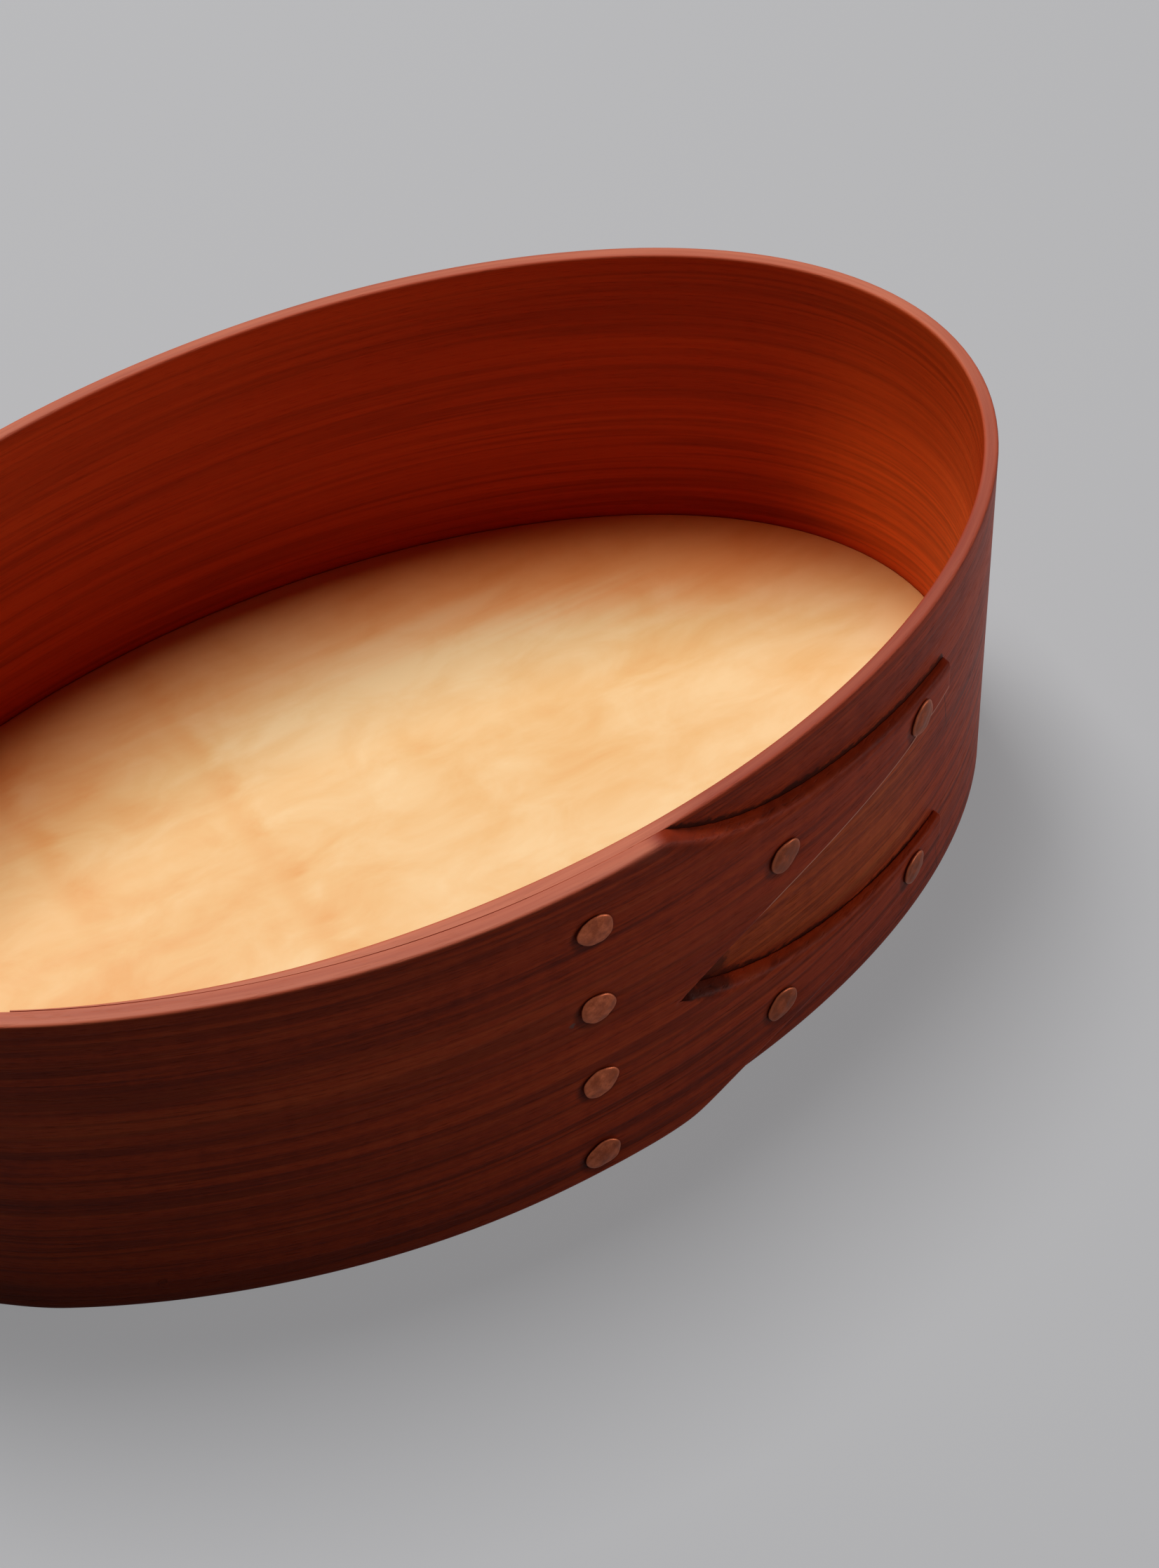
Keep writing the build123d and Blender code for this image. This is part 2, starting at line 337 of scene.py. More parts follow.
@dataclass(frozen=True)
class CherryFinish:
    """Oiled cherry: grain lines, rings, flecks and pores, paler edges with painted sheen, paler bends
    from painted bounce light, painted shade in the crevices.
    """

    dark: Colour = rgb(0.205, 0.019, 0.006)
    middle: Colour = rgb(0.405, 0.044, 0.011)
    light: Colour = rgb(0.505, 0.073, 0.020)
    line: Colour = rgb(0.075, 0.008, 0.003)
    # Colour of the painted shade in the crevices and round the tack heads.
    painted_shade: Colour = rgb(0.020, 0.005, 0.003)
    dent: Colour = rgb(0.120, 0.085, 0.075)
    # Multiplier of the painted light in the gap between the fingers.
    gap_light: Colour = rgb(1.250, 1.800, 1.700)
    # Tints of the inner faces and of the tight bends: painted bounce light.
    inside: Colour = rgb(1.100, 0.900, 0.520)
    bent: Colour = rgb(2.300, 4.000, 3.200)
    # Colour of the painted highlight on the upper finger's arris at the gap.
    arris: Colour = rgb(0.820, 0.400, 0.290)
    stained_edge: Colour = rgb(0.170, 0.018, 0.006)
    dull_edge: Colour = rgb(0.280, 0.064, 0.042)
    # Palest cut edge: rubbed wood with painted sheen.
    worn_edge_and_sheen: Colour = rgb(0.530, 0.170, 0.100)
    streak_noise: Noise = Noise((5.0, 95.0, 160.0), 3.0, 0.55, 0.4)
    line_noise: Noise = Noise((14.0, 900.0, 900.0), 4.0, 0.65, 0.15)
    ring_noise: Noise = Noise((5.0, 240.0, 240.0), 2.0, 0.5, 0.5)
    thread_noise: Noise = Noise((7.0, 430.0, 420.0), 2.0, 0.5, 0.5)
    fade_noise: Noise = Noise((20.0, 130.0, 90.0), 2.0, 0.5)
    pore_noise: Noise = Noise((420.0, 4200.0, 2600.0), 2.0, 0.6)
    ripple_noise: Noise = Noise((420.0, 60.0, 60.0), 1.0, 0.4, 0.6)
    fleck_noise: Noise = Noise((800.0, 1500.0, 1500.0), 3.0, 0.6)
    rub_noise: Noise = Noise((45.0, 200.0, 1500.0), 2.0, 0.6)
    ragged_noise: Noise = Noise((900.0, 1300.0, 500.0), 3.0, 0.6)
    swell_noise: Noise = Noise((110.0, 60.0, 50.0), 1.0)
    edge_share: float = 0.9
    specular: float = 0.05

    def material(self) -> bpy.types.Material:
        """Write the finish on the unbent strip's own coordinates: run, height and depth.

        Returns:
            The material.
        """
        material, desk = new_desk(Slot.CHERRY.value)
        place = desk.attribute("strip_place", "Vector")
        _, height, depth = desk.parts(place)
        outside = depth.step(0.2 * MM, 0.7 * MM)
        low = height.step(40 * MM, 8 * MM)
        streaks = desk.grain(place, self.streak_noise)
        lines = desk.grain(place, self.line_noise)
        rings = self._ridge(desk, place, self.ring_noise).step(0.88, 0.99)
        threads = self._ridge(desk, place, self.thread_noise).step(0.84, 0.99)
        fade = desk.grain(place, self.fade_noise).step(0.40, 0.62)
        pores = desk.grain(place, self.pore_noise).step(0.52, 0.72)
        ripple = desk.grain(place, self.ripple_noise)
        tone = 0.5 + (streaks - 0.5) * (0.31 + 0.07 * outside) + (lines - 0.5) * (0.30 + 0.38 * outside)
        flecks = desk.grain(place, self.fleck_noise)
        tone = tone + ((ripple - 0.5) * 0.14 + (flecks - 0.5) * 0.30) * outside
        colour = desk.ramp(tone, ((0.28, self.dark), (0.5, self.middle), (0.74, self.light)))
        drawn = rings * fade * (0.20 + 0.35 * low) + threads * (1 - 0.6 * fade) * 0.50
        colour = desk.blend(drawn * (0.60 + 0.35 * outside), colour, self.line)
        colour = desk.blend(pores * (0.15 + 0.20 * outside), colour, self.line)
        # Painted bounce light: the inner faces tinted redder, and low inside the tight bends made
        # paler, as where the board lights them.
        bend = desk.attribute("bend", "Fac") ** 2.0 * (1 - 0.7 * height.step(14 * MM, 45 * MM))
        within = desk.blend(bend, self.inside, self.bent)
        colour = desk.blend(1 - outside, colour, within, "MULTIPLY")
        colour = self._edges(desk, colour, lines)
        colour = self._marks(desk, colour)
        relief = lines * 0.5 + streaks * 0.2 - pores * 0.3 - rings * fade * 0.3 + ripple * 0.2
        desk.surface({
            "Base Color": colour,
            "Roughness": 0.44 + (lines - 0.5) * 0.16 + pores * 0.12,
            "Normal": desk.bump(relief, 0.35, 0.0002),
            "Specular IOR Level": self.specular,
        })
        return material

    @staticmethod
    def _ridge(desk: Desk, place: Signal, noise: Noise) -> Signal:
        """Thin winding lines: 1 where a noise crosses its middle, falling off on both sides."""
        return 1 - abs(desk.grain(place, noise) - 0.5) * 2

    def _edges(self, desk: Desk, colour: Signal, lines: Signal) -> Signal:
        """Paler wood on the cut edges, palest where they are most rubbed and carry the most painted
        sheen, with rubbed streaks.

        Args:
            desk: The material's desk.
            colour: Colour of the faces.
            lines: Fine grain, which shows on the cuts as well.

        Returns:
            The colour with its cut edges.
        """
        edge = desk.attribute("cut_edge", "Fac")
        # The cut edges are rubbed, and the stops along the rim add painted sheen.
        wear_and_sheen = desk.attribute("edge_wear_and_sheen", "Fac")
        rubbed = desk.grain(desk.attribute("strip_place", "Vector"), self.rub_noise)
        tone = wear_and_sheen + ((lines - 0.5) * 0.7 + (rubbed - 0.5) * 0.9) * wear_and_sheen
        cut = desk.ramp(tone, ((0.0, self.stained_edge), (0.35, self.dull_edge), (1.0, self.worn_edge_and_sheen)))
        return desk.blend(edge * self.edge_share, colour, cut)

    def _marks(self, desk: Desk, colour: Signal) -> Signal:
        """Painted shade beside the fingers, in the notch and round the tacks, painted light in the gap,
        a dent, and a painted highlight on an arris.

        Args:
            desk: The material's desk.
            colour: Colour of the wood.

        Returns:
            The colour with its marks.
        """
        place = desk.attribute("strip_place", "Vector")
        above_upper, above_lower, in_notch = desk.parts(desk.attribute("lap_lines", "Vector"))
        tack_shadow, dent, in_gap = desk.parts(desk.attribute("wall_marks", "Vector"))
        rough = (desk.grain(place, self.ragged_noise) - 0.5) * 1.6 * MM
        swell = (desk.grain(place, self.swell_noise) - 0.5) * 1.6 * MM
        # Painted shade: dark lines above the fingers' cut edges and in the notch, where the fingers
        # shade the layer below.
        crevice = (abs(above_upper + rough) + swell).step(0.75 * MM, 0.15 * MM)
        crevice = crevice.either((abs(above_lower + rough) + swell).step(0.65 * MM, 0.1 * MM))
        crevice = crevice.either((in_notch + rough).step(-0.3 * MM, 0.4 * MM) * 0.8)
        # Painted light: the layer below between the fingers is made paler and oranger, as brightly lit
        # as the finger faces.
        colour = desk.blend(in_gap.step(0.2 * MM, 2.0 * MM), colour, self.gap_light, "MULTIPLY")
        colour = desk.blend(crevice * 0.85, colour, self.painted_shade)
        # Painted shadow: a dark ring round each tack head, moved down and back, the side where the head
        # shades the wood.
        colour = desk.blend(tack_shadow.step(0.75 * MM, 0.1 * MM) * 0.5, colour, self.painted_shade)
        colour = desk.blend(dent.step(0.55 * MM, 0.3 * MM) * 0.7, colour, self.dent)
        # Painted highlight: a thin pale line along the upper finger's arris at the gap.
        painted_arris = desk.attribute("arris_line", "Fac").step(0.40 * MM, 0.14 * MM)
        return desk.blend(painted_arris, colour, self.arris)


@dataclass(frozen=True)
class MapleFinish:
    """Pale figured maple: mottles along the grain, curl across it, painted shade near the band, deepest
    on the far side.
    """

    deep: Colour = rgb(0.730, 0.338, 0.086)
    middle: Colour = rgb(0.782, 0.472, 0.180)
    pale: Colour = rgb(0.835, 0.583, 0.284)
    # Painted shade near the band.
    warm_rim_shade: Colour = rgb(0.980, 0.720, 0.500)
    # Painted shadow on the far side.
    far_side_shade: Colour = rgb(1.030, 0.590, 0.370)
    band_place: float = -9.5 * MM
    band_pitch: float = 21.5 * MM
    mottle_noise: Noise = Noise((95.0, 165.0, 165.0), 4.0, 0.58, 0.5)
    cloud_noise: Noise = Noise((20.0, 34.0, 34.0), 1.0, 0.5, 0.3)
    streak_noise: Noise = Noise((12.0, 460.0, 460.0), 3.0, 0.55, 0.3)
    patch_noise: Noise = Noise((16.0, 45.0, 45.0), 1.0)
    specular: float = 0.3

    def material(self) -> bpy.types.Material:
        """Write the finish on the board's Object coordinates, with the grain along X.

        Returns:
            The material.
        """
        material, desk = new_desk(Slot.MAPLE.value)
        place = desk.object_place()
        length, width, height = desk.parts(place)
        mottle = desk.grain(place, self.mottle_noise)
        cloud = desk.grain(place, self.cloud_noise)
        streaks = desk.grain(place, self.streak_noise)
        patchy = desk.grain(place, self.patch_noise).step(0.26, 0.50)
        fade = length.step(15 * MM, -5 * MM)
        bands = (length - self.band_place) / self.band_pitch + (mottle - 0.5) * 0.25
        curl = desk.maths("PINGPONG", bands, 0.5).step(0.13, 0.0) * patchy * (0.10 + 0.90 * fade)
        tone = 0.5 + (mottle - 0.5) * 0.55 + (cloud - 0.5) * 0.4 + (streaks - 0.5) * 0.13 - curl * 0.10
        tone = tone + (length.step(-60 * MM, 15 * MM) - 0.5) * 0.18
        colour = desk.ramp(tone, ((0.28, self.deep), (0.5, self.middle), (0.70, self.pale)))
        rim = desk.attribute("rim_distance", "Fac") + (cloud - 0.5) * 5 * MM
        upper_face = height.step(3 * MM, 6.5 * MM)
        # Painted shade: the top face darker and oranger near the band, where its walls shade the board
        # and throw red light on it.
        colour = desk.blend(rim.step(13 * MM, 0.5 * MM) * upper_face, colour, self.warm_rim_shade, "MULTIPLY")
        # Painted shadow on the far side, +Y, where the far wall shades the board; stronger towards +X.
        far_shade = (rim + (streaks - 0.5) * 6 * MM).step(21 * MM, 9 * MM) * width.step(2 * MM, 20 * MM)
        far_shade = far_shade * (0.6 + 0.4 * length.step(0 * MM, 30 * MM))
        colour = desk.blend(far_shade, colour, self.far_side_shade, "MULTIPLY")
        desk.surface({
            "Base Color": colour,
            "Roughness": 0.46 + (streaks - 0.5) * 0.15,
            "Normal": desk.bump(streaks * 0.5 + mottle * 0.3, 0.2, 0.0002),
            "Specular IOR Level": self.specular,
        })
        return material


@dataclass(frozen=True)
class CopperFinish:
    """Hammered copper gone brown, brighter round each head's rim, rubbed and with a painted highlight,
    browner towards the finger tips.
    """

    bright: Colour = rgb(0.640, 0.170, 0.073)
    brown: Colour = rgb(0.405, 0.090, 0.035)
    dark: Colour = rgb(0.240, 0.051, 0.018)
    tarnish_noise: Noise = Noise((900.0, 900.0, 900.0), 3.0, 0.6)
    speck_noise: Noise = Noise((5200.0, 5200.0, 5200.0), 2.0, 0.6)
    metallic: float = 0.6
    specular: float = 0.1

    def material(self) -> bpy.types.Material:
        """Write the finish on Object coordinates, with the head's rim from its own attribute.

        Returns:
            The material.
        """
        material, desk = new_desk(Slot.COPPER.value)
        place = desk.object_place()
        rim = desk.attribute("head_rim", "Fac")
        tarnish = desk.grain(place, self.tarnish_noise)
        specks = desk.grain(place, self.speck_noise)
        length, _, _ = desk.parts(place)
        tone = tarnish + (specks - 0.5) * 0.3 + 0.04 - 0.24 * length.step(8 * MM, 20 * MM)
        colour = desk.ramp(tone, ((0.25, self.dark), (0.5, self.brown), (0.78, self.bright)))
        # Paler rim round each head: rubbed copper and a painted highlight.
        colour = desk.blend(rim * 0.4, colour, self.bright)
        desk.surface({
            "Base Color": colour,
            "Metallic": self.metallic,
            "Roughness": 0.50 + (tarnish - 0.5) * 0.3 + (specks - 0.5) * 0.15 - rim * 0.12,
            "Normal": desk.bump(tarnish * 0.7 + specks * 0.3, 0.3, 0.0001),
            "Specular IOR Level": self.specular,
        })
        return material


@dataclass(frozen=True)
class PegFinish:
    """End grain of a small wooden peg, close to the band in colour."""

    dark: Colour = rgb(0.200, 0.026, 0.009)
    light: Colour = rgb(0.340, 0.040, 0.011)
    pore_noise: Noise = Noise((4200.0, 4200.0, 4200.0), 2.0, 0.6)
    ring_noise: Noise = Noise((900.0, 900.0, 1500.0), 1.0)
    specular: float = 0.05

    def material(self) -> bpy.types.Material:
        """Write the finish on Object coordinates.

        Returns:
            The material.
        """
        material, desk = new_desk(Slot.PEG.value)
        place = desk.object_place()
        pores = desk.grain(place, self.pore_noise)
        rings = desk.grain(place, self.ring_noise)
        colour = desk.ramp(pores * 0.5 + rings * 0.5, ((0.35, self.dark), (0.62, self.light)))
        desk.surface({
            "Base Color": colour,
            "Roughness": 0.5 + (pores - 0.5) * 0.2,
            "Normal": desk.bump(pores, 0.25, 0.0001),
            "Specular IOR Level": self.specular,
        })
        return material


def ease(share: Array) -> Array:
    """Rise from 0 to 1 as half a cosine wave while share goes from 0 to 1."""
    return (1 - np.cos(np.pi * np.clip(share, 0, 1))) / 2


def sunk_waves(run: Array, waves: Sequence[Triple]) -> Array:
    """Sum of weighted sines, moved and scaled to lie between -1 and 0.

    Args:
        run: Places along the strip.
        waves: Radians per metre, phase and weight of each sine.

    Returns:
        The waves.
    """
    top = sum(weight for _, _, weight in waves)
    summed = sum(weight * np.sin(run * pace + phase) for pace, phase, weight in waves)
    return (summed - top) / (2 * top)


def soft_floor(value: Array, width: float) -> Array:
    """The larger of value and 0, rounded over a width: (v + sqrt(v^2 + w^2)) / 2, and 0 below."""
    rounded = (value + np.sqrt(value**2 + width**2)) / 2
    return rounded * ease((value + 4 * width) / (3 * width))


def grid_faces(rows: int, columns: int, wrap: bool) -> Array:
    """Quads of a grid of points.

    The corners of quad (i, j) are points (i, j), (i, j + 1), (i + 1, j + 1) and (i + 1, j).

    Args:
        rows: Number of rows of points.
        columns: Number of columns of points.
        wrap: Whether the last column joins the first.

    Returns:
        Point numbers with shape (rows - 1, columns or columns - 1, 4).
    """
    numbers = np.arange(rows * columns).reshape(rows, columns)
    if wrap:
        numbers = np.concatenate([numbers, numbers[:, :1]], axis=1)
    return np.stack([numbers[:-1, :-1], numbers[:-1, 1:], numbers[1:, 1:], numbers[1:, :-1]], axis=-1)


@dataclass
class Shell:
    """Points, faces and point attributes of one closed surface."""

    points: Array
    faces: list[list[int]]
    vectors: dict[str, Array] = field(default_factory=dict)
    values: dict[str, Array] = field(default_factory=dict)
    sharp_angle: float = math.radians(50)
    merge_distance: float = 2e-6

    def make(self, name: str) -> bpy.types.Object:
        """Put the surface into a mesh object at the origin.

        Coincident points are merged, so that seams and poles close, and the faces are turned
        outwards.

        Args:
            name: Name of the piece.

        Returns:
            The new object, linked to the scene.
        """
        mesh = bpy.data.meshes.new(name)
        mesh.from_pydata(self.points.reshape(-1, 3).tolist(), [], self.faces)
        for key, data in self.vectors.items():
            mesh.attributes.new(key, "FLOAT_VECTOR", "POINT").data.foreach_set("vector", data.ravel())
        for key, data in self.values.items():
            mesh.attributes.new(key, "FLOAT", "POINT").data.foreach_set("value", data.ravel())
        work = bmesh.new()
        work.from_mesh(mesh)
        bmesh.ops.remove_doubles(work, verts=work.verts, dist=self.merge_distance)
        loose = [vertex for vertex in work.verts if not vertex.link_faces]
        bmesh.ops.delete(work, geom=loose, context="VERTS")
        bmesh.ops.recalc_face_normals(work, faces=work.faces)
        work.to_mesh(mesh)
        work.free()
        mesh.polygons.foreach_set("use_smooth", np.ones(len(mesh.polygons), dtype=bool))
        mesh.set_sharp_from_angle(angle=self.sharp_angle)
        made = bpy.data.objects.new(name, mesh)
        bpy.context.scene.collection.objects.link(made)
        return made


def dress(
    piece: bpy.types.Object,
    material: bpy.types.Material,
    nodes: Sequence[str],
) -> None:
    """Give a new piece its material, body and slot, and hide the CAD nodes that it stands for.

    Args:
        piece: The new object.
        material: Its finish.
        nodes: CAD nodes that it replaces.
    """
    piece.data.materials.append(material)
    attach(piece, "root")
    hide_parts(*nodes)


@dataclass(frozen=True)
class Oval:
    """The band's inner face: an ellipse measured by arc length from the middle of the front."""

    half_length: float
    half_width: float
    samples: int = 24001

    @cached_property
    def table(self) -> tuple[Array, Array]:
        """Sum of short chords, anticlockwise from the front.

        Returns:
            Arc lengths and angles.
        """
        angles = np.linspace(-np.pi / 2, 3 * np.pi / 2, self.samples)
        x = self.half_length * np.cos(angles)
        y = self.half_width * np.sin(angles)
        arcs = np.concatenate([[0.0], np.cumsum(np.hypot(np.diff(x), np.diff(y)))])
        return arcs, angles

    @property
    def length(self) -> float:
        """Length once round."""
        return float(self.table[0][-1])

    def frame_at(self, along: Array) -> tuple[Array, Array, Array]:
        """Points on the oval with their directions.

        The point at angle a is (A cos a, B sin a); the outward normal is along
        (B cos a, A sin a), and the tangent is the normal turned a quarter anticlockwise.

        Args:
            along: Arc lengths from the middle of the front.

        Returns:
            Points, tangents and outward normals, each with a last axis of 3.
        """
        arcs, angles = self.table
        angle = np.interp(np.mod(along, arcs[-1]), arcs, angles)
        cosine, sine, flat = np.cos(angle), np.sin(angle), np.zeros_like(angle)
        point = np.stack([self.half_length * cosine, self.half_width * sine, flat], axis=-1)
        normal = np.stack([self.half_width * cosine, self.half_length * sine, flat], axis=-1)
        normal /= np.linalg.norm(normal, axis=-1, keepdims=True)
        tangent = np.stack([-normal[..., 1], normal[..., 0], flat], axis=-1)
        return point, tangent, normal

    def place(self, along: Array, out: Array, height: Array) -> Array:
        """Points at places along the oval, distances outside it and heights.

        Args:
            along: Arc lengths.
            out: Distances outside the inner face.
            height: Heights above the floor.

        Returns:
            Points with a last axis of 3.
        """
        along, out, height = np.broadcast_arrays(along, out, height)
        point, _, normal = self.frame_at(along)
        made = point + normal * out[..., None]
        made[..., 2] = height
        return made


@dataclass(frozen=True)
class FingerEdge:
    """One cut edge of a finger: its root, and its distances from the finger's middle line."""

    root: float
    tip: float
    taper: float
    power: float

    def reach(self, along: Array, end: float, at_root: float) -> Array:
        """Distance from the middle line: tip + taper s + rest s^power, with s the way left."""
        left = np.maximum(0, (end - along) / (end - self.root))
        return self.tip + self.taper * left + (at_root - self.tip - self.taper) * left**self.power


@dataclass(frozen=True)
class Strip:
    """The strip before bending: its thickness, its lap and the outline of its fingers, in metres."""

    oval: Oval
    height: float
    thickness: float = 1.6 * MM
    feather_reach: float = 55.5 * MM
    feather_length: float = 52.0 * MM
    feather_edge: float = 0.15 * MM
    lap_gap: float = 0.3 * MM
    lap_rise: float = 10.0 * MM
    lap_margin: float = 3.0 * MM
    finger_reach: float = 55.5 * MM
    upper_drop: float = 13.2 * MM
    lower_rise: float = 10.3 * MM
    upper_top: FingerEdge = FingerEdge(11.5 * MM, 2.6 * MM, 5.0 * MM, 5.0)
    upper_gap: FingerEdge = FingerEdge(13.5 * MM, 1.85 * MM, 6.2 * MM, 4.0)
    lower_gap: FingerEdge = FingerEdge(13.5 * MM, 2.3 * MM, 3.2 * MM, 3.5)
    lower_bottom: FingerEdge = FingerEdge(15.5 * MM, 2.3 * MM, 3.2 * MM, 3.5)
    tip_thickness: float = 0.7 * MM
    bevel_slope: float = 0.5
    gap_start: float = 0.3 * MM
    gap_drop: float = 0.6 * MM
    top_ease: float = 0.25 * MM
    bottom_ease: float = 0.9 * MM

    @property
    def length(self) -> float:
        """Whole length of the strip."""
        return self.feather_reach + self.oval.length + self.finger_reach

    @property
    def upper_middle(self) -> float:
        """Height of the upper finger's middle line."""
        return self.height - self.upper_drop

    @property
    def split(self) -> float:
        """Height at which the fingers part."""
        return (self.upper_middle + self.lower_rise) / 2 - self.gap_drop

    def along(self, run: Array) -> Array:
        """Place along the oval of a run from the feathered end."""
        return run - self.feather_reach

    def past_front(self, run: Array) -> Array:
        """Distance of the outer layer beyond the middle of the front, where the fingers are."""
        return run - self.feather_reach - self.oval.length

    def thick(self, run: Array) -> Array:
        """Thickness: the smaller of the feather's eased rise and the straight taper to the tips.

        Args:
            run: Runs from the feathered end.

        Returns:
            Thicknesses.
        """
        rise = (self.thickness - self.feather_edge) * ease(run / self.feather_length)
        left = np.minimum(1, (self.length - run) / (self.finger_reach - self.upper_top.root))
        taper = (self.thickness - self.tip_thickness) * left
        return np.minimum(self.feather_edge + rise, self.tip_thickness + taper)

    def lapped(self, run: Array) -> Array:
        """Eased rise from 0 to 1 while the strip climbs over its own start."""
        return ease(1 + (run - self.oval.length) / self.lap_rise)

    def lift(self, run: Array) -> Array:
        """Stand-off of the inner side: a climb on to the feather, then the layer below and a gap.

        Args:
            run: Runs from the feathered end.

        Returns:
            Distances outside the oval.
        """
        over = run - self.oval.length
        climb = (self.feather_edge + self.lap_gap) * self.lapped(run)
        return np.where(over < 0, climb, self.thick(np.maximum(over, 0)) + self.lap_gap)

    def outer_face(self, along: Array, cover_end: float) -> Array:
        """Distance out of the outermost layer.

        Args:
            along: Places along the oval.
            cover_end: Place up to which the lap covers the wall.

        Returns:
            Lift and thickness of the layer on top.
        """
        run = np.mod(along + self.feather_reach, self.oval.length)
        run = np.where(run < self.feather_reach + cover_end, run + self.oval.length, run)
        return self.lift(run) + self.thick(run)

    def cut_heights(self, along: Array) -> tuple[Array, Array, Array, Array]:
        """Heights of the fingers' cut edges where they lie on the layer below.

        Args:
            along: Places along the oval.

        Returns:
            The upper finger's top, its gap edge, the lower finger's gap edge and its bottom.
        """
        end, half_start = self.finger_reach, self.gap_start / 2
        upper, lower = self.upper_middle, self.lower_rise
        return (
            upper + self.upper_top.reach(along, end, self.upper_drop),
            upper - self.upper_gap.reach(along, end, upper - self.split - half_start),
            lower + self.lower_gap.reach(along, end, self.split - half_start - lower),
            lower - self.lower_bottom.reach(along, end, self.lower_rise),
        )

    def edges(self, limb: Limb, run: Array, out: Array) -> tuple[Array, Array]:
        """Lower and upper edge of a limb, bevelled with the distance out.

        Args:
            limb: Which limb.
            run: Runs from the feathered end.
            out: Distance out at which the edges are wanted.

        Returns:
            Heights of the lower and the upper edge.
        """
        top, gap_top, gap_low, bottom = self.cut_heights(self.past_front(run))
        bevel = self.bevel_slope * (out - self.thickness - self.lap_gap)
        if limb is Limb.UPPER:
            below = soft_floor(self.height - top + bevel, self.top_ease)
            return np.maximum(self.split, gap_top + bevel), self.height - below
        return soft_floor(bottom + bevel, self.bottom_ease), np.minimum(self.split, gap_low - bevel)


@dataclass(frozen=True)
class TackPlace:
    """One tack: its CAD node, its place on the wall and what its point does."""

    node: str
    along: float
    height: float
    point: Point = Point.CLINCHED


def from_tacks(
    tacks: Sequence[TackPlace], along: Array, height: Array, shift: float = 0.0
) -> Array:
    """Distances from every tack, with the tacks moved down and back by a shift."""
    heads = np.array([(tack.along, tack.height) for tack in tacks]) - shift
    return np.hypot(along[..., None] - heads[:, 0], height[..., None] - heads[:, 1])


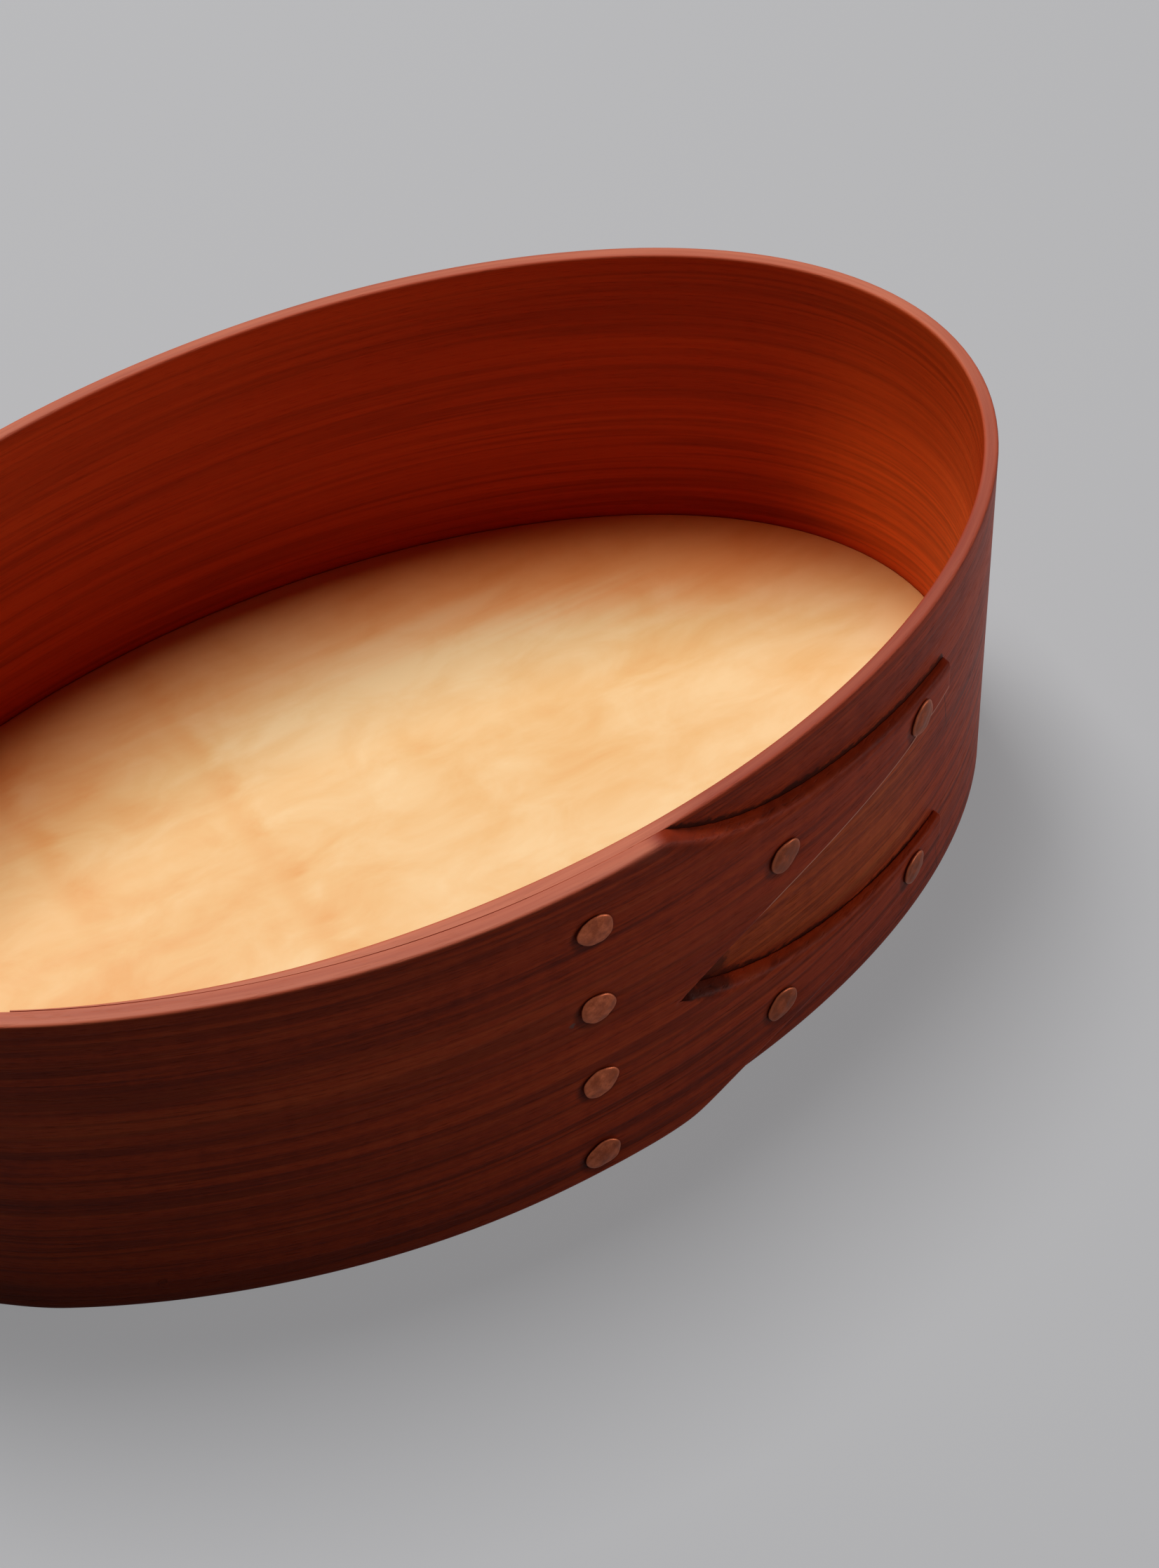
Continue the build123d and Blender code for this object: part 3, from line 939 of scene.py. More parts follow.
@dataclass(frozen=True)
class BandMarks:
    """Wear, painted light and shade, and a dent on the band, which its finish reads at each point: run,
    height and depth.
    """

    strip: Strip
    tacks: Sequence[TackPlace]
    far: float = 20.0 * MM
    skin: float = 0.3 * MM
    tip_lead: float = 0.2 * MM
    tip_drop: float = 6.0
    crevice_spread: float = 0.9
    crevice_reach: float = 14.0 * MM
    crevice_blend: float = 12.0 * MM
    notch_reach: float = 6.0 * MM
    notch_height: float = 4.0 * MM
    notch_depth: float = 0.8 * MM
    # How far the painted shadow round each tack head is moved down and back.
    tack_shadow_shift: float = 0.3 * MM
    dent_place: tuple[float, float] = (-1.0 * MM, 27.4 * MM)
    # Reach and slope of the painted light in the gap.
    gap_light_reach: float = 2.0 * MM
    gap_light_slope: float = 0.15
    arris_start: float = 3.0 * MM
    arris_reach: float = 11.0 * MM
    arris_fade: float = 0.06
    arris_skin: float = 0.4 * MM
    arris_shift: float = 0.1 * MM
    bend_start: float = 0.6
    # Stops as share of the strip's run and value; the palest stretches stand in for the sheen on the
    # lit rim, painted in.
    rim_wear_and_sheen: tuple[tuple[float, float], ...] = (
        (0.00, 0.90), (0.13, 0.90), (0.15, 0.45), (0.24, 0.42), (0.28, 0.50), (0.32, 0.85),
        (0.38, 0.70), (0.62, 0.70), (0.75, 0.84), (0.86, 0.78), (1.00, 0.78),
    )

    def notch_left(self, along: Array) -> Array:
        """Half the way left to the end of the notch, the first millimetres of the gap."""
        return (self.strip.upper_gap.root + self.notch_reach - along) * 0.5

    def lap_lines(self, place: Array) -> Array:
        """Distances on the layer below the lap, for the painted shade in the crevices beside the
        fingers.

        The first two are the heights above the upper finger's top edge and above the lower finger's
        gap edge, bent down round the tips; the third is how far a point lies inside the notch. Away
        from the layer below, all three are far.

        Args:
            place: Run, height and depth of the points.

        Returns:
            The three distances with a last axis of 3.
        """
        strip = self.strip
        along, height = strip.along(place[..., 0]), place[..., 1]
        top, gap_top, gap_low, _ = strip.cut_heights(along)
        drop = self.tip_drop * np.maximum(0, along - strip.finger_reach + self.tip_lead)
        to_root = strip.lower_gap.root + self.crevice_reach - along
        wide = 1 + self.crevice_spread * ease(to_root / self.crevice_blend)
        notch = np.minimum(height - gap_low, gap_top - height)
        notch = np.minimum(notch, self.notch_left(along))
        under = along > strip.upper_top.root - strip.lap_margin
        under &= along < strip.finger_reach + strip.lap_margin
        under &= (place[..., 2] > self.skin) & (height < strip.height - self.skin / 2)
        lines = np.stack([height - top + drop, (height - gap_low + drop) / wide, notch], axis=-1)
        return np.where(under[..., None], lines, np.array([self.far, self.far, -self.far]))

    def wall_marks(self, place: Array) -> Array:
        """Distances outside the painted shadow ring round the tack heads, from the dent and into the
        gap that gets painted light.

        Args:
            place: Run, height and depth of the points.

        Returns:
            The three distances with a last axis of 3.
        """
        strip = self.strip
        along, height = strip.past_front(place[..., 0]), place[..., 1]
        away = from_tacks(self.tacks, along, height, self.tack_shadow_shift).min(axis=-1)
        dent = np.hypot(along - self.dent_place[0], height - self.dent_place[1])
        under = strip.along(place[..., 0])
        _, gap_top, gap_low, _ = strip.cut_heights(under)
        inside = np.minimum(height - gap_low, gap_top - height)
        to_end = strip.finger_reach + self.gap_light_reach - under
        inside = np.minimum(inside, to_end * self.gap_light_slope)
        inside = np.where(place[..., 2] > self.skin, inside, -self.far)
        return np.stack([away - HEAD_RADIUS, dent, inside], axis=-1)

    def cut_notch(self, place: Array, cut: Array) -> Array:
        """Depth inside the notch on the fingers' own cut edges, for its painted shade; far outside it
        elsewhere.

        Args:
            place: Run, height and depth of the points.
            cut: Cut-edge share of the points.

        Returns:
            Depths.
        """
        along = self.strip.past_front(place[..., 0])
        within = np.minimum(self.notch_left(along), (cut - 0.5) * self.notch_depth)
        middle = np.abs(place[..., 1] - self.strip.split) < self.notch_height
        return np.where(middle & (along > 0), within, -self.far)

    def arris_line(self, limb: Limb, place: Array) -> Array:
        """Distance from the upper finger's arris at the gap, for its painted highlight, longer near the
        root; far elsewhere.

        Args:
            limb: Which limb the points are on.
            place: Run, height and depth of the points.

        Returns:
            Distances.
        """
        strip = self.strip
        root = strip.upper_gap.root
        along, height, depth = strip.past_front(place[..., 0]), place[..., 1], place[..., 2]
        edge = strip.cut_heights(along)[1] + strip.bevel_slope * (depth - self.arris_shift)
        fade = self.arris_fade * np.maximum(0, root + self.arris_reach - along)
        on_arris = (along > root + self.arris_start) & (depth > self.arris_skin)
        on_arris &= limb is Limb.UPPER
        return np.where(on_arris, np.abs(height - edge) + fade, self.far)

    def bend(self, run: Array) -> Array:
        """Share of the tight bends, for their painted bounce light: the size of the normal's X, eased
        from bend_start to 1.
        """
        normal = self.strip.oval.frame_at(self.strip.along(run))[2]
        return ease((np.abs(normal[..., 0]) - self.bend_start) / (1 - self.bend_start))

    def edge_wear_and_sheen(self, run: Array) -> Array:
        """Wear of the cut edges with painted sheen along the rim, read between stops along the strip;
        the fingers have none.

        Args:
            run: Runs from the feathered end.

        Returns:
            Wear and painted sheen between 0 and 1.
        """
        strip = self.strip
        stops = np.array(self.rim_wear_and_sheen)
        wear_and_sheen = np.interp(run, stops[:, 0] * strip.length, stops[:, 1])
        past_root = strip.past_front(run) - strip.upper_top.root
        return wear_and_sheen * (1 - ease((past_root + strip.lap_margin) / strip.lap_margin))


@dataclass(frozen=True)
class SideBand:
    """The bent strip, as two limbs of rounded section carried along the oval."""

    strip: Strip
    tacks: Sequence[TackPlace]
    snug: float = 0.27 * MM
    rim_round: float = 0.42 * MM
    tight_round: float = 0.06 * MM
    feathered: float = 0.8 * MM
    root_scoop: float = 1.8 * MM
    finger_round: float = 0.18 * MM
    tip_round: float = 0.35 * MM
    tip_lean: float = 0.8
    root_blend: float = 6.0 * MM
    cover_blend: float = 4.0 * MM
    scoop_reach: float = 14.0 * MM
    scoop_blend: float = 10.0 * MM
    rim_share: float = 0.45
    tight_share: float = 0.2
    facet_share: float = 0.4
    fray_depth: float = 0.13 * MM
    fray_shift: float = 5.0 * MM
    fray_waves: tuple[Triple, ...] = (
        (2 * math.pi / (2.9 * MM), 0.0, 1.0),
        (2 * math.pi / (1.7 * MM), 1.1, 1.0),
        (2 * math.pi / (1.13 * MM), 2.3, 0.8),
    )
    wall_step: float = 1.6 * MM
    lap_step: float = 0.5 * MM
    face_points: int = 40
    inner_points: int = 12
    corner_points: int = 4
    tip_points: int = 6
    dish_reach: float = 1.25 * HEAD_RADIUS
    dish_depth: float = 0.13 * MM
    rim_wave: float = 0.10 * MM
    rim_wave_inside: float = 0.6
    rim_waves: tuple[Triple, ...] = ((61.0, 0.0, 1.0), (143.0, 1.3, 1.0))

    def runs(self) -> Array:
        """Stations along the strip: wide on the plain wall, close in the lap and at the tips.

        Returns:
            Runs from the feathered end, in rising order.
        """
        strip = self.strip
        under = strip.feather_reach + strip.upper_top.root - strip.lap_margin
        past = strip.feather_reach + strip.finger_reach + strip.lap_margin
        lap = strip.oval.length - strip.lap_rise
        end = strip.length - self.tip_round
        spans = (
            (0.0, under, self.wall_step),
            (under, past, self.lap_step),
            (past, lap, self.wall_step),
            (lap, end, self.lap_step),
        )
        parts = [
            np.linspace(low, high, int((high - low) / step), endpoint=False)
            for low, high, step in spans
        ]
        tip = end + self.tip_round * np.sin(np.linspace(0, np.pi / 2, self.tip_points))
        return np.concatenate([*parts, tip])

    def fray(self, run: Array) -> Array:
        """Torn fibres along a cut edge: short waves that never stand proud of it."""
        return self.fray_depth * sunk_waves(run, self.fray_waves)

    def on_finger(self, run: Array) -> Array:
        """Straight rise from 0 to 1 over the last millimetres before the fingers' root."""
        past_root = self.strip.past_front(run) - self.strip.upper_top.root
        return np.clip(past_root / self.root_blend + 1, 0, 1)

    def section(self, limb: Limb, run: Array) -> tuple[Array, Array, Array]:
        """Rounded four-cornered section of a limb at every station.

        Each corner is a quadratic curve between points one radius away on its two sides; the
        sides between the curves are straight. The corners run outer low, outer high, inner high,
        inner low.

        Args:
            limb: Which limb.
            run: Stations.

        Returns:
            (out, height) pairs with shape (stations, columns, 2), the cut-edge share of each column
            at every station, and for each station whether the gap is still closed there.
        """
        corners, closed = self._corners(limb, run)
        radii = self._radii(limb, run, corners)
        arcs = [self._corner(corners, index, *radii[index]) for index in range(4)]
        fills = (self.face_points, 1, self.inner_points, 1)
        loop: list[Array] = []
        shares: list[Array] = []
        ramp = np.linspace(0, 1, self.corner_points + 1)
        for index in range(4):
            start, stop = arcs[index][:, -1:], arcs[(index + 1) % 4][:, :1]
            steps = np.linspace(0, 1, fills[index] + 2)[None, 1:-1, None]
            loop += [arcs[index], start + (stop - start) * steps]
            shares += [ramp if index % 2 else 1 - ramp, np.full(fills[index], float(index % 2))]
        cut = np.broadcast_to(np.concatenate(shares), (len(run), sum(map(len, shares)))).copy()
        cut[:, self.gap_columns(limb)] *= ~closed[:, None]
        return np.concatenate(loop, axis=1), cut, closed

    def _corners(self, limb: Limb, run: Array) -> tuple[Array, Array]:
        """Corners of a limb's section, drawn in at the tips and worn along the upper edge.

        Over the last stretch the edges are drawn in by r (1 - sqrt(1 - t^2)), a quarter circle.

        Args:
            limb: Which limb.
            run: Stations.

        Returns:
            (out, height) pairs with shape (4, stations, 2), and for each station whether the gap is
            still closed there.
        """
        strip = self.strip
        to_tip = np.clip((run - strip.length) / self.tip_round + 1, 0, 1)
        inset = self.tip_round * (1 - np.sqrt(1 - to_tip**2))
        inner = strip.lift(run) - self.snug * strip.lapped(run)
        outer = strip.lift(run) + strip.thick(run) - self.tip_lean * inset
        low_out, high_out = strip.edges(limb, run, outer)
        low_in, high_in = strip.edges(limb, run, inner)
        low_out, low_in = low_out + inset, low_in + inset
        high_out, high_in = high_out - inset, high_in - inset
        gap_edge = low_out if limb is Limb.UPPER else high_out
        closed = np.abs(gap_edge - strip.split) < CLOSED
        if limb is Limb.UPPER:
            wave = self.rim_wave * sunk_waves(run, self.rim_waves)
            torn = self.fray(run) * self.on_finger(run)
            high_out = high_out + wave + torn
            high_in = high_in + wave * self.rim_wave_inside + torn
        else:
            torn = self.fray(run + self.fray_shift) * np.clip((strip.split - high_out) / MM, 0, 1)
            high_out = high_out + torn
            high_in = high_in + torn * np.clip((strip.split - high_in) / MM, 0, 1)
        pairs = ((outer, low_out), (outer, high_out), (inner, high_in), (inner, low_in))
        return np.stack([np.stack(pair, axis=-1) for pair in pairs]), closed

    def _radii(self, limb: Limb, run: Array, corners: Array) -> tuple[tuple[Array, Array], ...]:
        """How far each corner's curve reaches along its two sides.

        The rim is soft, tight where two layers meet, and a long facet along the fingers; at the
        gap no curve passes half the gap's width.

        Args:
            limb: Which limb.
            run: Stations.
            corners: The section's corners.

        Returns:
            For each corner the reach before it and after it.
        """
        strip = self.strip
        root = strip.upper_top.root
        (outer, low_out), (_, high_out), (inner, high_in), (_, low_in) = np.moveaxis(corners, -1, 1)
        thick = outer - inner
        soft = np.minimum(self.rim_round, self.rim_share * thick)
        tight = np.minimum(self.tight_round, self.tight_share * thick)
        covered = strip.feather_reach + root + self.cover_blend - run
        edge_in = soft + (tight - soft) * strip.lapped(run)
        edge_out = soft + (tight - soft) * ease(covered / self.root_blend)
        scoop = ease((root + self.scoop_reach - strip.past_front(run)) / self.scoop_blend)
        on_finger = self.on_finger(run)
        face_out = edge_out + (self.feathered + self.root_scoop * scoop - edge_out) * on_finger
        edge_out = edge_out + (self.facet_share * thick - edge_out) * on_finger
        half_out = np.abs((low_out if limb is Limb.UPPER else high_out) - strip.split) * 0.5
        half_in = np.abs((low_in if limb is Limb.UPPER else high_in) - strip.split) * 0.5
        gap_out = np.minimum(self.finger_round, half_out)
        gap_in = np.minimum(self.finger_round, half_in)
        if limb is Limb.UPPER:
            return (gap_out, gap_out), (face_out, edge_out), (edge_in, edge_in), (gap_in, gap_in)
        gap_face = np.minimum(self.feathered, half_out)
        gap_side = np.minimum(self.facet_share * thick, half_in)
        return (edge_out, soft), (gap_face, gap_side), (gap_in, gap_in), (edge_in, edge_in)

    def _corner(self, corners: Array, index: int, start: Array, stop: Array) -> Array:
        """Quadratic curve round one corner, (1-t)^2 P + 2t(1-t) C + t^2 Q.

        Args:
            corners: The four corners at every station.
            index: Which corner.
            start: Distance of P from the corner, on the side before it.
            stop: Distance of Q from the corner, on the side after it.

        Returns:
            Points of the curve at every station.
        """
        here = corners[index]
        before = corners[index - 1] - here
        after = corners[(index + 1) % 4] - here
        first = here + before / np.linalg.norm(before, axis=-1, keepdims=True) * start[:, None]
        last = here + after / np.linalg.norm(after, axis=-1, keepdims=True) * stop[:, None]
        t = np.linspace(0, 1, self.corner_points + 1)[None, :, None]
        return (1 - t) ** 2 * first[:, None] + 2 * t * (1 - t) * here[:, None] + t**2 * last[:, None]

    def gap_columns(self, limb: Limb) -> Array:
        """Columns of a limb's section that lie on the gap's edge.

        Args:
            limb: Which limb.

        Returns:
            Column numbers, in order round the loop.
        """
        arc = self.corner_points + 1
        sides = (arc + self.face_points, arc + 1, arc + self.inner_points, arc + 1)
        starts = np.concatenate([[0], np.cumsum(sides)])
        if limb is Limb.UPPER:
            return np.concatenate([np.arange(starts[3], starts[4]), np.arange(arc)])
        return np.arange(starts[1], starts[2] + arc)

    def dish(self, run: Array, height: Array) -> Array:
        """Hollow hammered round each tack head: depth exp(-(d / w)^4) at distance d from it."""
        away = from_tacks(self.tacks, self.strip.past_front(run), height)
        return self.dish_depth * np.exp(-((away / self.dish_reach) ** 4)).sum(axis=-1)

    def build(self) -> Shell:
        """Carry both limbs' sections along the strip and close the ends.

        Returns:
            The band as one closed surface, with the unbent strip's coordinates on its points.
        """
        strip = self.strip
        marks = BandMarks(strip, self.tacks)
        run = self.runs()
        points: list[Array] = []
        places: list[Array] = []
        cuts: list[Array] = []
        painted_arris: list[Array] = []
        notches: list[Array] = []
        faces: list[list[int]] = []
        count = 0
        for limb in Limb:
            loop, cut, closed = self.section(limb, run)
            rows, columns = cut.shape
            runs = np.broadcast_to(run[:, None], cut.shape)
            depth = loop[..., 0] - strip.lift(runs)
            to_face = np.clip(depth / strip.thick(runs), 0, 1)
            out = loop[..., 0] - self.dish(runs, loop[..., 1]) * to_face**2
            points.append(strip.oval.place(strip.along(runs), out, loop[..., 1]).reshape(-1, 3))
            places.append(np.stack([runs, loop[..., 1], depth], axis=-1).reshape(-1, 3))
            painted_arris.append(marks.arris_line(limb, places[-1]))
            notches.append(marks.cut_notch(places[-1], cut.ravel()))
            past_root = strip.past_front(runs) - strip.upper_top.root
            plain = 1 - ease((past_root - MM) / self.root_blend)
            cuts.append((cut * plain).ravel())
            quads = grid_faces(rows, columns, True)
            keep = np.ones(quads.shape[:2], dtype=bool)
            shut = (closed[:-1] & closed[1:])[:, None]
            keep[:, self.gap_columns(limb)[:-1]] &= ~shut
            ends = [np.arange(columns)[::-1], np.arange(columns) + (rows - 1) * columns]
            faces += (quads[keep] + count).tolist() + [(end + count).tolist() for end in ends]
            count += rows * columns
        place = np.concatenate(places)
        lines = marks.lap_lines(place)
        lines[:, 2] = np.maximum(lines[:, 2], np.concatenate(notches))
        return Shell(
            np.concatenate(points),
            faces,
            {"strip_place": place, "lap_lines": lines, "wall_marks": marks.wall_marks(place)},
            {
                "cut_edge": np.concatenate(cuts),
                "edge_wear_and_sheen": marks.edge_wear_and_sheen(place[:, 0]),
                "bend": marks.bend(place[:, 0]),
                "arris_line": np.concatenate(painted_arris),
            },
        )


@dataclass(frozen=True)
class BottomBoard:
    """The oval board: a profile with eased edges carried once round the oval."""

    oval: Oval
    thickness: float
    clearance: float = 0.05 * MM
    edge_round: float = 0.35 * MM
    cup: float = 0.12 * MM
    stations: int = 288
    rings: int = 24
    corner_rings: int = 5

    def build(self) -> Shell:
        """Carry the profile round and close it at the middle of both faces.

        A ring at share s of the way out is s times the oval drawn in by the edge round; the last
        rings follow a quarter circle down to the side. The top is hollowed by cup (1 - s^2).

        Returns:
            The board as one closed surface.
        """
        along = np.linspace(0, self.oval.length, self.stations, endpoint=False)
        rim = self.oval.place(along, -self.clearance - self.edge_round, np.zeros_like(along))
        normal = self.oval.frame_at(along)[2]
        share = np.linspace(0, 1, self.rings)
        turn = np.linspace(0, np.pi / 2, self.corner_rings + 1)[1:]
        shares = np.concatenate([share, np.ones(2 * self.corner_rings), share[::-1]])
        outs = np.concatenate([
            np.zeros(self.rings),
            self.edge_round * np.sin(turn),
            self.edge_round * np.cos(turn - turn[0]),
            np.zeros(self.rings),
        ])
        top = self.thickness - self.cup * (1 - share**2)
        heights = np.concatenate([
            top,
            self.thickness - self.edge_round * (1 - np.cos(turn)),
            self.edge_round * (1 - np.sin(turn - turn[0])),
            np.zeros(self.rings),
        ])
        points = shares[:, None, None] * rim[None] + outs[:, None, None] * normal[None]
        points[..., 2] = heights[:, None]
        quads = grid_faces(len(shares), self.stations, True).reshape(-1, 4).tolist()
        return Shell(points, quads, values={"rim_distance": self.rim_distance(points)})

    def rim_distance(self, points: Array) -> Array:
        """Distance in from the oval, (1 - s) / |grad s| with s = sqrt((x/A)^2 + (y/B)^2).

        Args:
            points: Points of the board.

        Returns:
            Distances, no more than the oval's half width.
        """
        x, y = points[..., 0], points[..., 1]
        long, wide = self.oval.half_length, self.oval.half_width
        share = np.hypot(x / long, y / wide)
        slope = np.hypot(x / long**2, y / wide**2) / np.maximum(share, 1e-6)
        return np.minimum((1 - share) / np.maximum(slope, 1 / long), wide)


@dataclass(frozen=True)
class CopperTack:
    """One tack: rings of an irregular, hammered head and a shank, carried along a bent path."""

    strip: Strip
    place: TackPlace
    seed: int
    head_radius: float = HEAD_RADIUS
    head_edge: float = 0.3 * MM
    head_dome: float = 0.25 * MM
    sink: float = 0.12 * MM
    shank_radius: float = 0.55 * MM
    bend_radius: float = 0.56 * MM
    clinch_length: float = 2.4 * MM
    board_length: float = 9.0 * MM
    point_length: float = 2.0 * MM
    point_share: float = 0.02
    clinch_taper: float = 0.45
    shoulder: float = 0.86
    seat: float = 0.5
    dome_rings: int = 12
    edge_rings: int = 8
    bend_rings: int = 8
    point_rings: int = 6
    around: int = 48
    wobble_waves: tuple[int, ...] = (2, 3, 5)
    wobble_sizes: tuple[float, ...] = (0.045, 0.028, 0.014)
    tilt: float = 0.035
    beat_depth: float = 0.03 * MM
    beats: tuple[Triple, ...] = ((2300.0, 2100.0, 1.0), (4100.0, 3800.0, 0.6))
    rim_start: float = 0.82
    rim_width: float = 0.16
    sharp_angle: float = math.radians(65)

    def _path(self, grip: float) -> tuple[Array, Array, Array, Array]:
        """Rings from the crown to the point.

        The head's rings lie square to the wall: a dome that drops with the square of the radius,
        a rounded edge and the seat. A clinched shank then turns through a quarter circle into the
        line of the band and tapers as (1 - taper s) sqrt(1 - s^3); a driven one goes straight on
        to its point.

        Args:
            grip: Distance from the head's seat to the inside of the band.

        Returns:
            Ring middles as (along, out), turn angles, radii and the share of head irregularity.
        """
        crown, rim = self.head_edge + self.head_dome - self.sink, self.head_edge - self.sink
        dome = np.linspace(0, self.shoulder, self.dome_rings)
        edge = np.linspace(0, np.pi, self.edge_rings)[1:]
        half_edge = (rim + self.head_dome * (1 - self.shoulder**2) + self.sink) / 2
        edge_r = self.shoulder + (1 - self.shoulder) * np.sin(edge)
        head_r = np.concatenate([dome, edge_r, [self.seat]]) * self.head_radius
        head_w = np.concatenate([
            crown - self.head_dome * dome**2,
            half_edge - self.sink + half_edge * np.cos(edge),
            [-self.sink],
        ])
        if self.place.point is Point.DRIVEN:
            tip = -self.board_length
            shank_w = np.array([-self.sink, tip + self.point_length, tip])
            shank_r = np.array([1.0, 1.0, self.point_share]) * self.shank_radius
            middle_u, turns = np.zeros(3), np.zeros(3)
        else:
            point = np.linspace(0, 1, self.point_rings + 1)[1:]
            quarter = np.linspace(0, np.pi / 2, self.bend_rings)
            turns = np.concatenate([[0.0], quarter, np.full(self.point_rings, np.pi / 2)])
            reach = np.concatenate([np.zeros(self.bend_rings + 1), point * self.clinch_length])
            middle_u = self.bend_radius * (1 - np.cos(turns)) + reach
            shank_w = -grip - self.bend_radius * np.sin(turns)
            shank_w[0] = -self.sink
            flat = np.sqrt(np.clip(1 - point**3, 0, 1)) * (1 - self.clinch_taper * point)
            shank_r = np.concatenate([np.ones(self.bend_rings + 1), flat]) * self.shank_radius
        middles = np.stack([
            np.concatenate([np.zeros(len(head_w)), middle_u]),
            np.concatenate([head_w, shank_w]),
        ], axis=-1)
        angles = np.concatenate([np.zeros(len(head_w)), turns])
        radii = np.concatenate([head_r, shank_r])
        uneven = np.concatenate([np.ones(len(head_w)), np.zeros(len(shank_w))])
        return middles, angles, radii, uneven

    def build(self) -> Shell:
        """Rings r (1 + wobble) round the path; the wobble is a few seeded waves round the head.

        The crown is tilted and beaten: products of two sines, along the band and up it, are added
        to its distance out.

        Returns:
            The tack as one closed surface, with a mask of the head's rim on its points.
        """
        rng = np.random.default_rng(self.seed)
        grip = float(self.strip.outer_face(np.array(self.place.along), self.strip.finger_reach))
        middles, turns, radii, uneven = self._path(grip)
        theta = np.linspace(0, 2 * np.pi, self.around, endpoint=False)
        phase = rng.uniform(0, 2 * np.pi, len(self.wobble_waves))
        waves = np.cos(np.array(self.wobble_waves) * theta[:, None] + phase)
        wobble = (np.array(self.wobble_sizes) * waves).sum(axis=-1)
        ring = radii[:, None] * (1 + uneven[:, None] * wobble[None])
        across = ring * np.cos(theta)[None]
        up = ring * np.sin(theta)[None]
        along = middles[:, :1] + across * np.cos(turns)[:, None]
        out = middles[:, 1:] + across * np.sin(turns)[:, None]
        slope = rng.uniform(-self.tilt, self.tilt, 2)
        starts = rng.uniform(0, 2 * np.pi, (len(self.beats), 2))
        beat = sum(
            weight * np.sin(along * long + start[0]) * np.sin(up * high + start[1])
            for (long, high, weight), start in zip(self.beats, starts)
        )
        crown = uneven[:, None] * (middles[:, 1:] > 0)
        out = out + crown * (self.beat_depth * beat + along * slope[0] + up * slope[1])
        point, tangent, normal = self.strip.oval.frame_at(np.array(self.place.along))
        made = point + along[..., None] * tangent + (grip + out)[..., None] * normal
        made[..., 2] = self.place.height + up
        to_rim = (radii / self.head_radius - self.rim_start) / self.rim_width
        share = np.clip(to_rim, 0, 1) * uneven
        mask = np.broadcast_to(share[:, None], ring.shape).copy()
        quads = grid_faces(*ring.shape, True).reshape(-1, 4).tolist()
        last = (np.arange(self.around) + (len(radii) - 1) * self.around).tolist()
        return Shell(
            made, quads + [last], values={"head_rim": mask}, sharp_angle=self.sharp_angle
        )


@dataclass(frozen=True)
class Box:
    """The whole box: its pieces in the order in which they are made."""

    band_height: float
    board_thickness: float
    oval: Oval
    column_along: float = 2.0 * MM
    column_top_margin: float = 7.1 * MM
    middle_tack: float = 26.0 * MM
    middle_drop: float = 0.9 * MM
    tip_tack: float = 49.0 * MM
    tip_drop: float = 0.2 * MM
    first_seed: int = 11
    pegs: int = 7

    @classmethod
    def from_frame(cls) -> "Box":
        """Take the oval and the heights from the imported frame.

        Returns:
            The box.
        """
        _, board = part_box("bottom_board")
        _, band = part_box("side_band")
        gap = BottomBoard.clearance
        return cls(band.z, board.z, Oval(board.x + gap, board.y + gap))

    @cached_property
    def strip(self) -> Strip:
        """The strip of this box."""
        return Strip(self.oval, self.band_height)

    @cached_property
    def tack_places(self) -> list[TackPlace]:
        """A column of four tacks at the fingers' root, the lowest in the board, then two a finger.

        Returns:
            The tacks from the top of the column to the lower finger's tip.
        """
        low = self.board_thickness / 2
        *column, _ = np.linspace(self.band_height - self.column_top_margin, low, 4)
        made = [
            TackPlace(f"column_tack_{row}", self.column_along, height)
            for row, height in enumerate(column, 1)
        ]
        made.append(TackPlace("board_tack", self.column_along, low, Point.DRIVEN))
        heights = {"upper": self.strip.upper_middle, "lower": self.strip.lower_rise}
        spots = {
            "middle": (self.middle_tack, self.middle_drop),
            "tip": (self.tip_tack, self.tip_drop),
        }
        for finger, height in heights.items():
            for spot, (along, drop) in spots.items():
                made.append(TackPlace(f"{finger}_finger_{spot}_tack", along, height - drop))
        return made

    def build(self) -> list[bpy.types.Object]:
        """Make every piece and dress it.

        Returns:
            The pieces in the order in which they were made.
        """
        cherry = CherryFinish().material()
        maple = MapleFinish().material()
        copper = CopperFinish().material()
        peg = PegFinish().material()
        band = SideBand(self.strip, self.tack_places).build().make("bent_band")
        dress(band, cherry, ["side_band"])
        board = BottomBoard(self.oval, self.board_thickness).build().make("oval_board")
        dress(board, maple, ["bottom_board"])
        pieces = [band, board]
        for seed, place in enumerate(self.tack_places, self.first_seed):
            tack = CopperTack(self.strip, place, seed).build().make(f"hammered_{place.node}")
            dress(tack, copper, [place.node])
            pieces.append(tack)
        for number in range(1, self.pegs + 1):
            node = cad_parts[f"board_peg_{number}"]
            node.data.materials.clear()
            node.data.materials.append(peg)
            pieces.append(node)
        return pieces


@dataclass(frozen=True)
class Lamp:
    """A soft light aimed at the box.

    Its level is the brightness that it gives a white surface facing it, 1 for white; the power for
    that is pi^2 times the level and the squared distance.
    """

    name: str
    place: Triple
    size: tuple[float, float]
    level: float

    def build(self) -> None:
        """Hang the lamp, out of the camera's sight."""
        data = bpy.data.lights.new(self.name, "AREA")
        data.shape = "RECTANGLE"
        data.size, data.size_y = self.size
        data.energy = self.level * math.pi**2 * Vector(self.place).length_squared
        lamp = bpy.data.objects.new(self.name, data)
        lamp.location = self.place
        lamp.rotation_euler = Vector(self.place).to_track_quat("Z", "Y").to_euler()
        lamp.visible_camera = False
        bpy.context.scene.collection.objects.link(lamp)


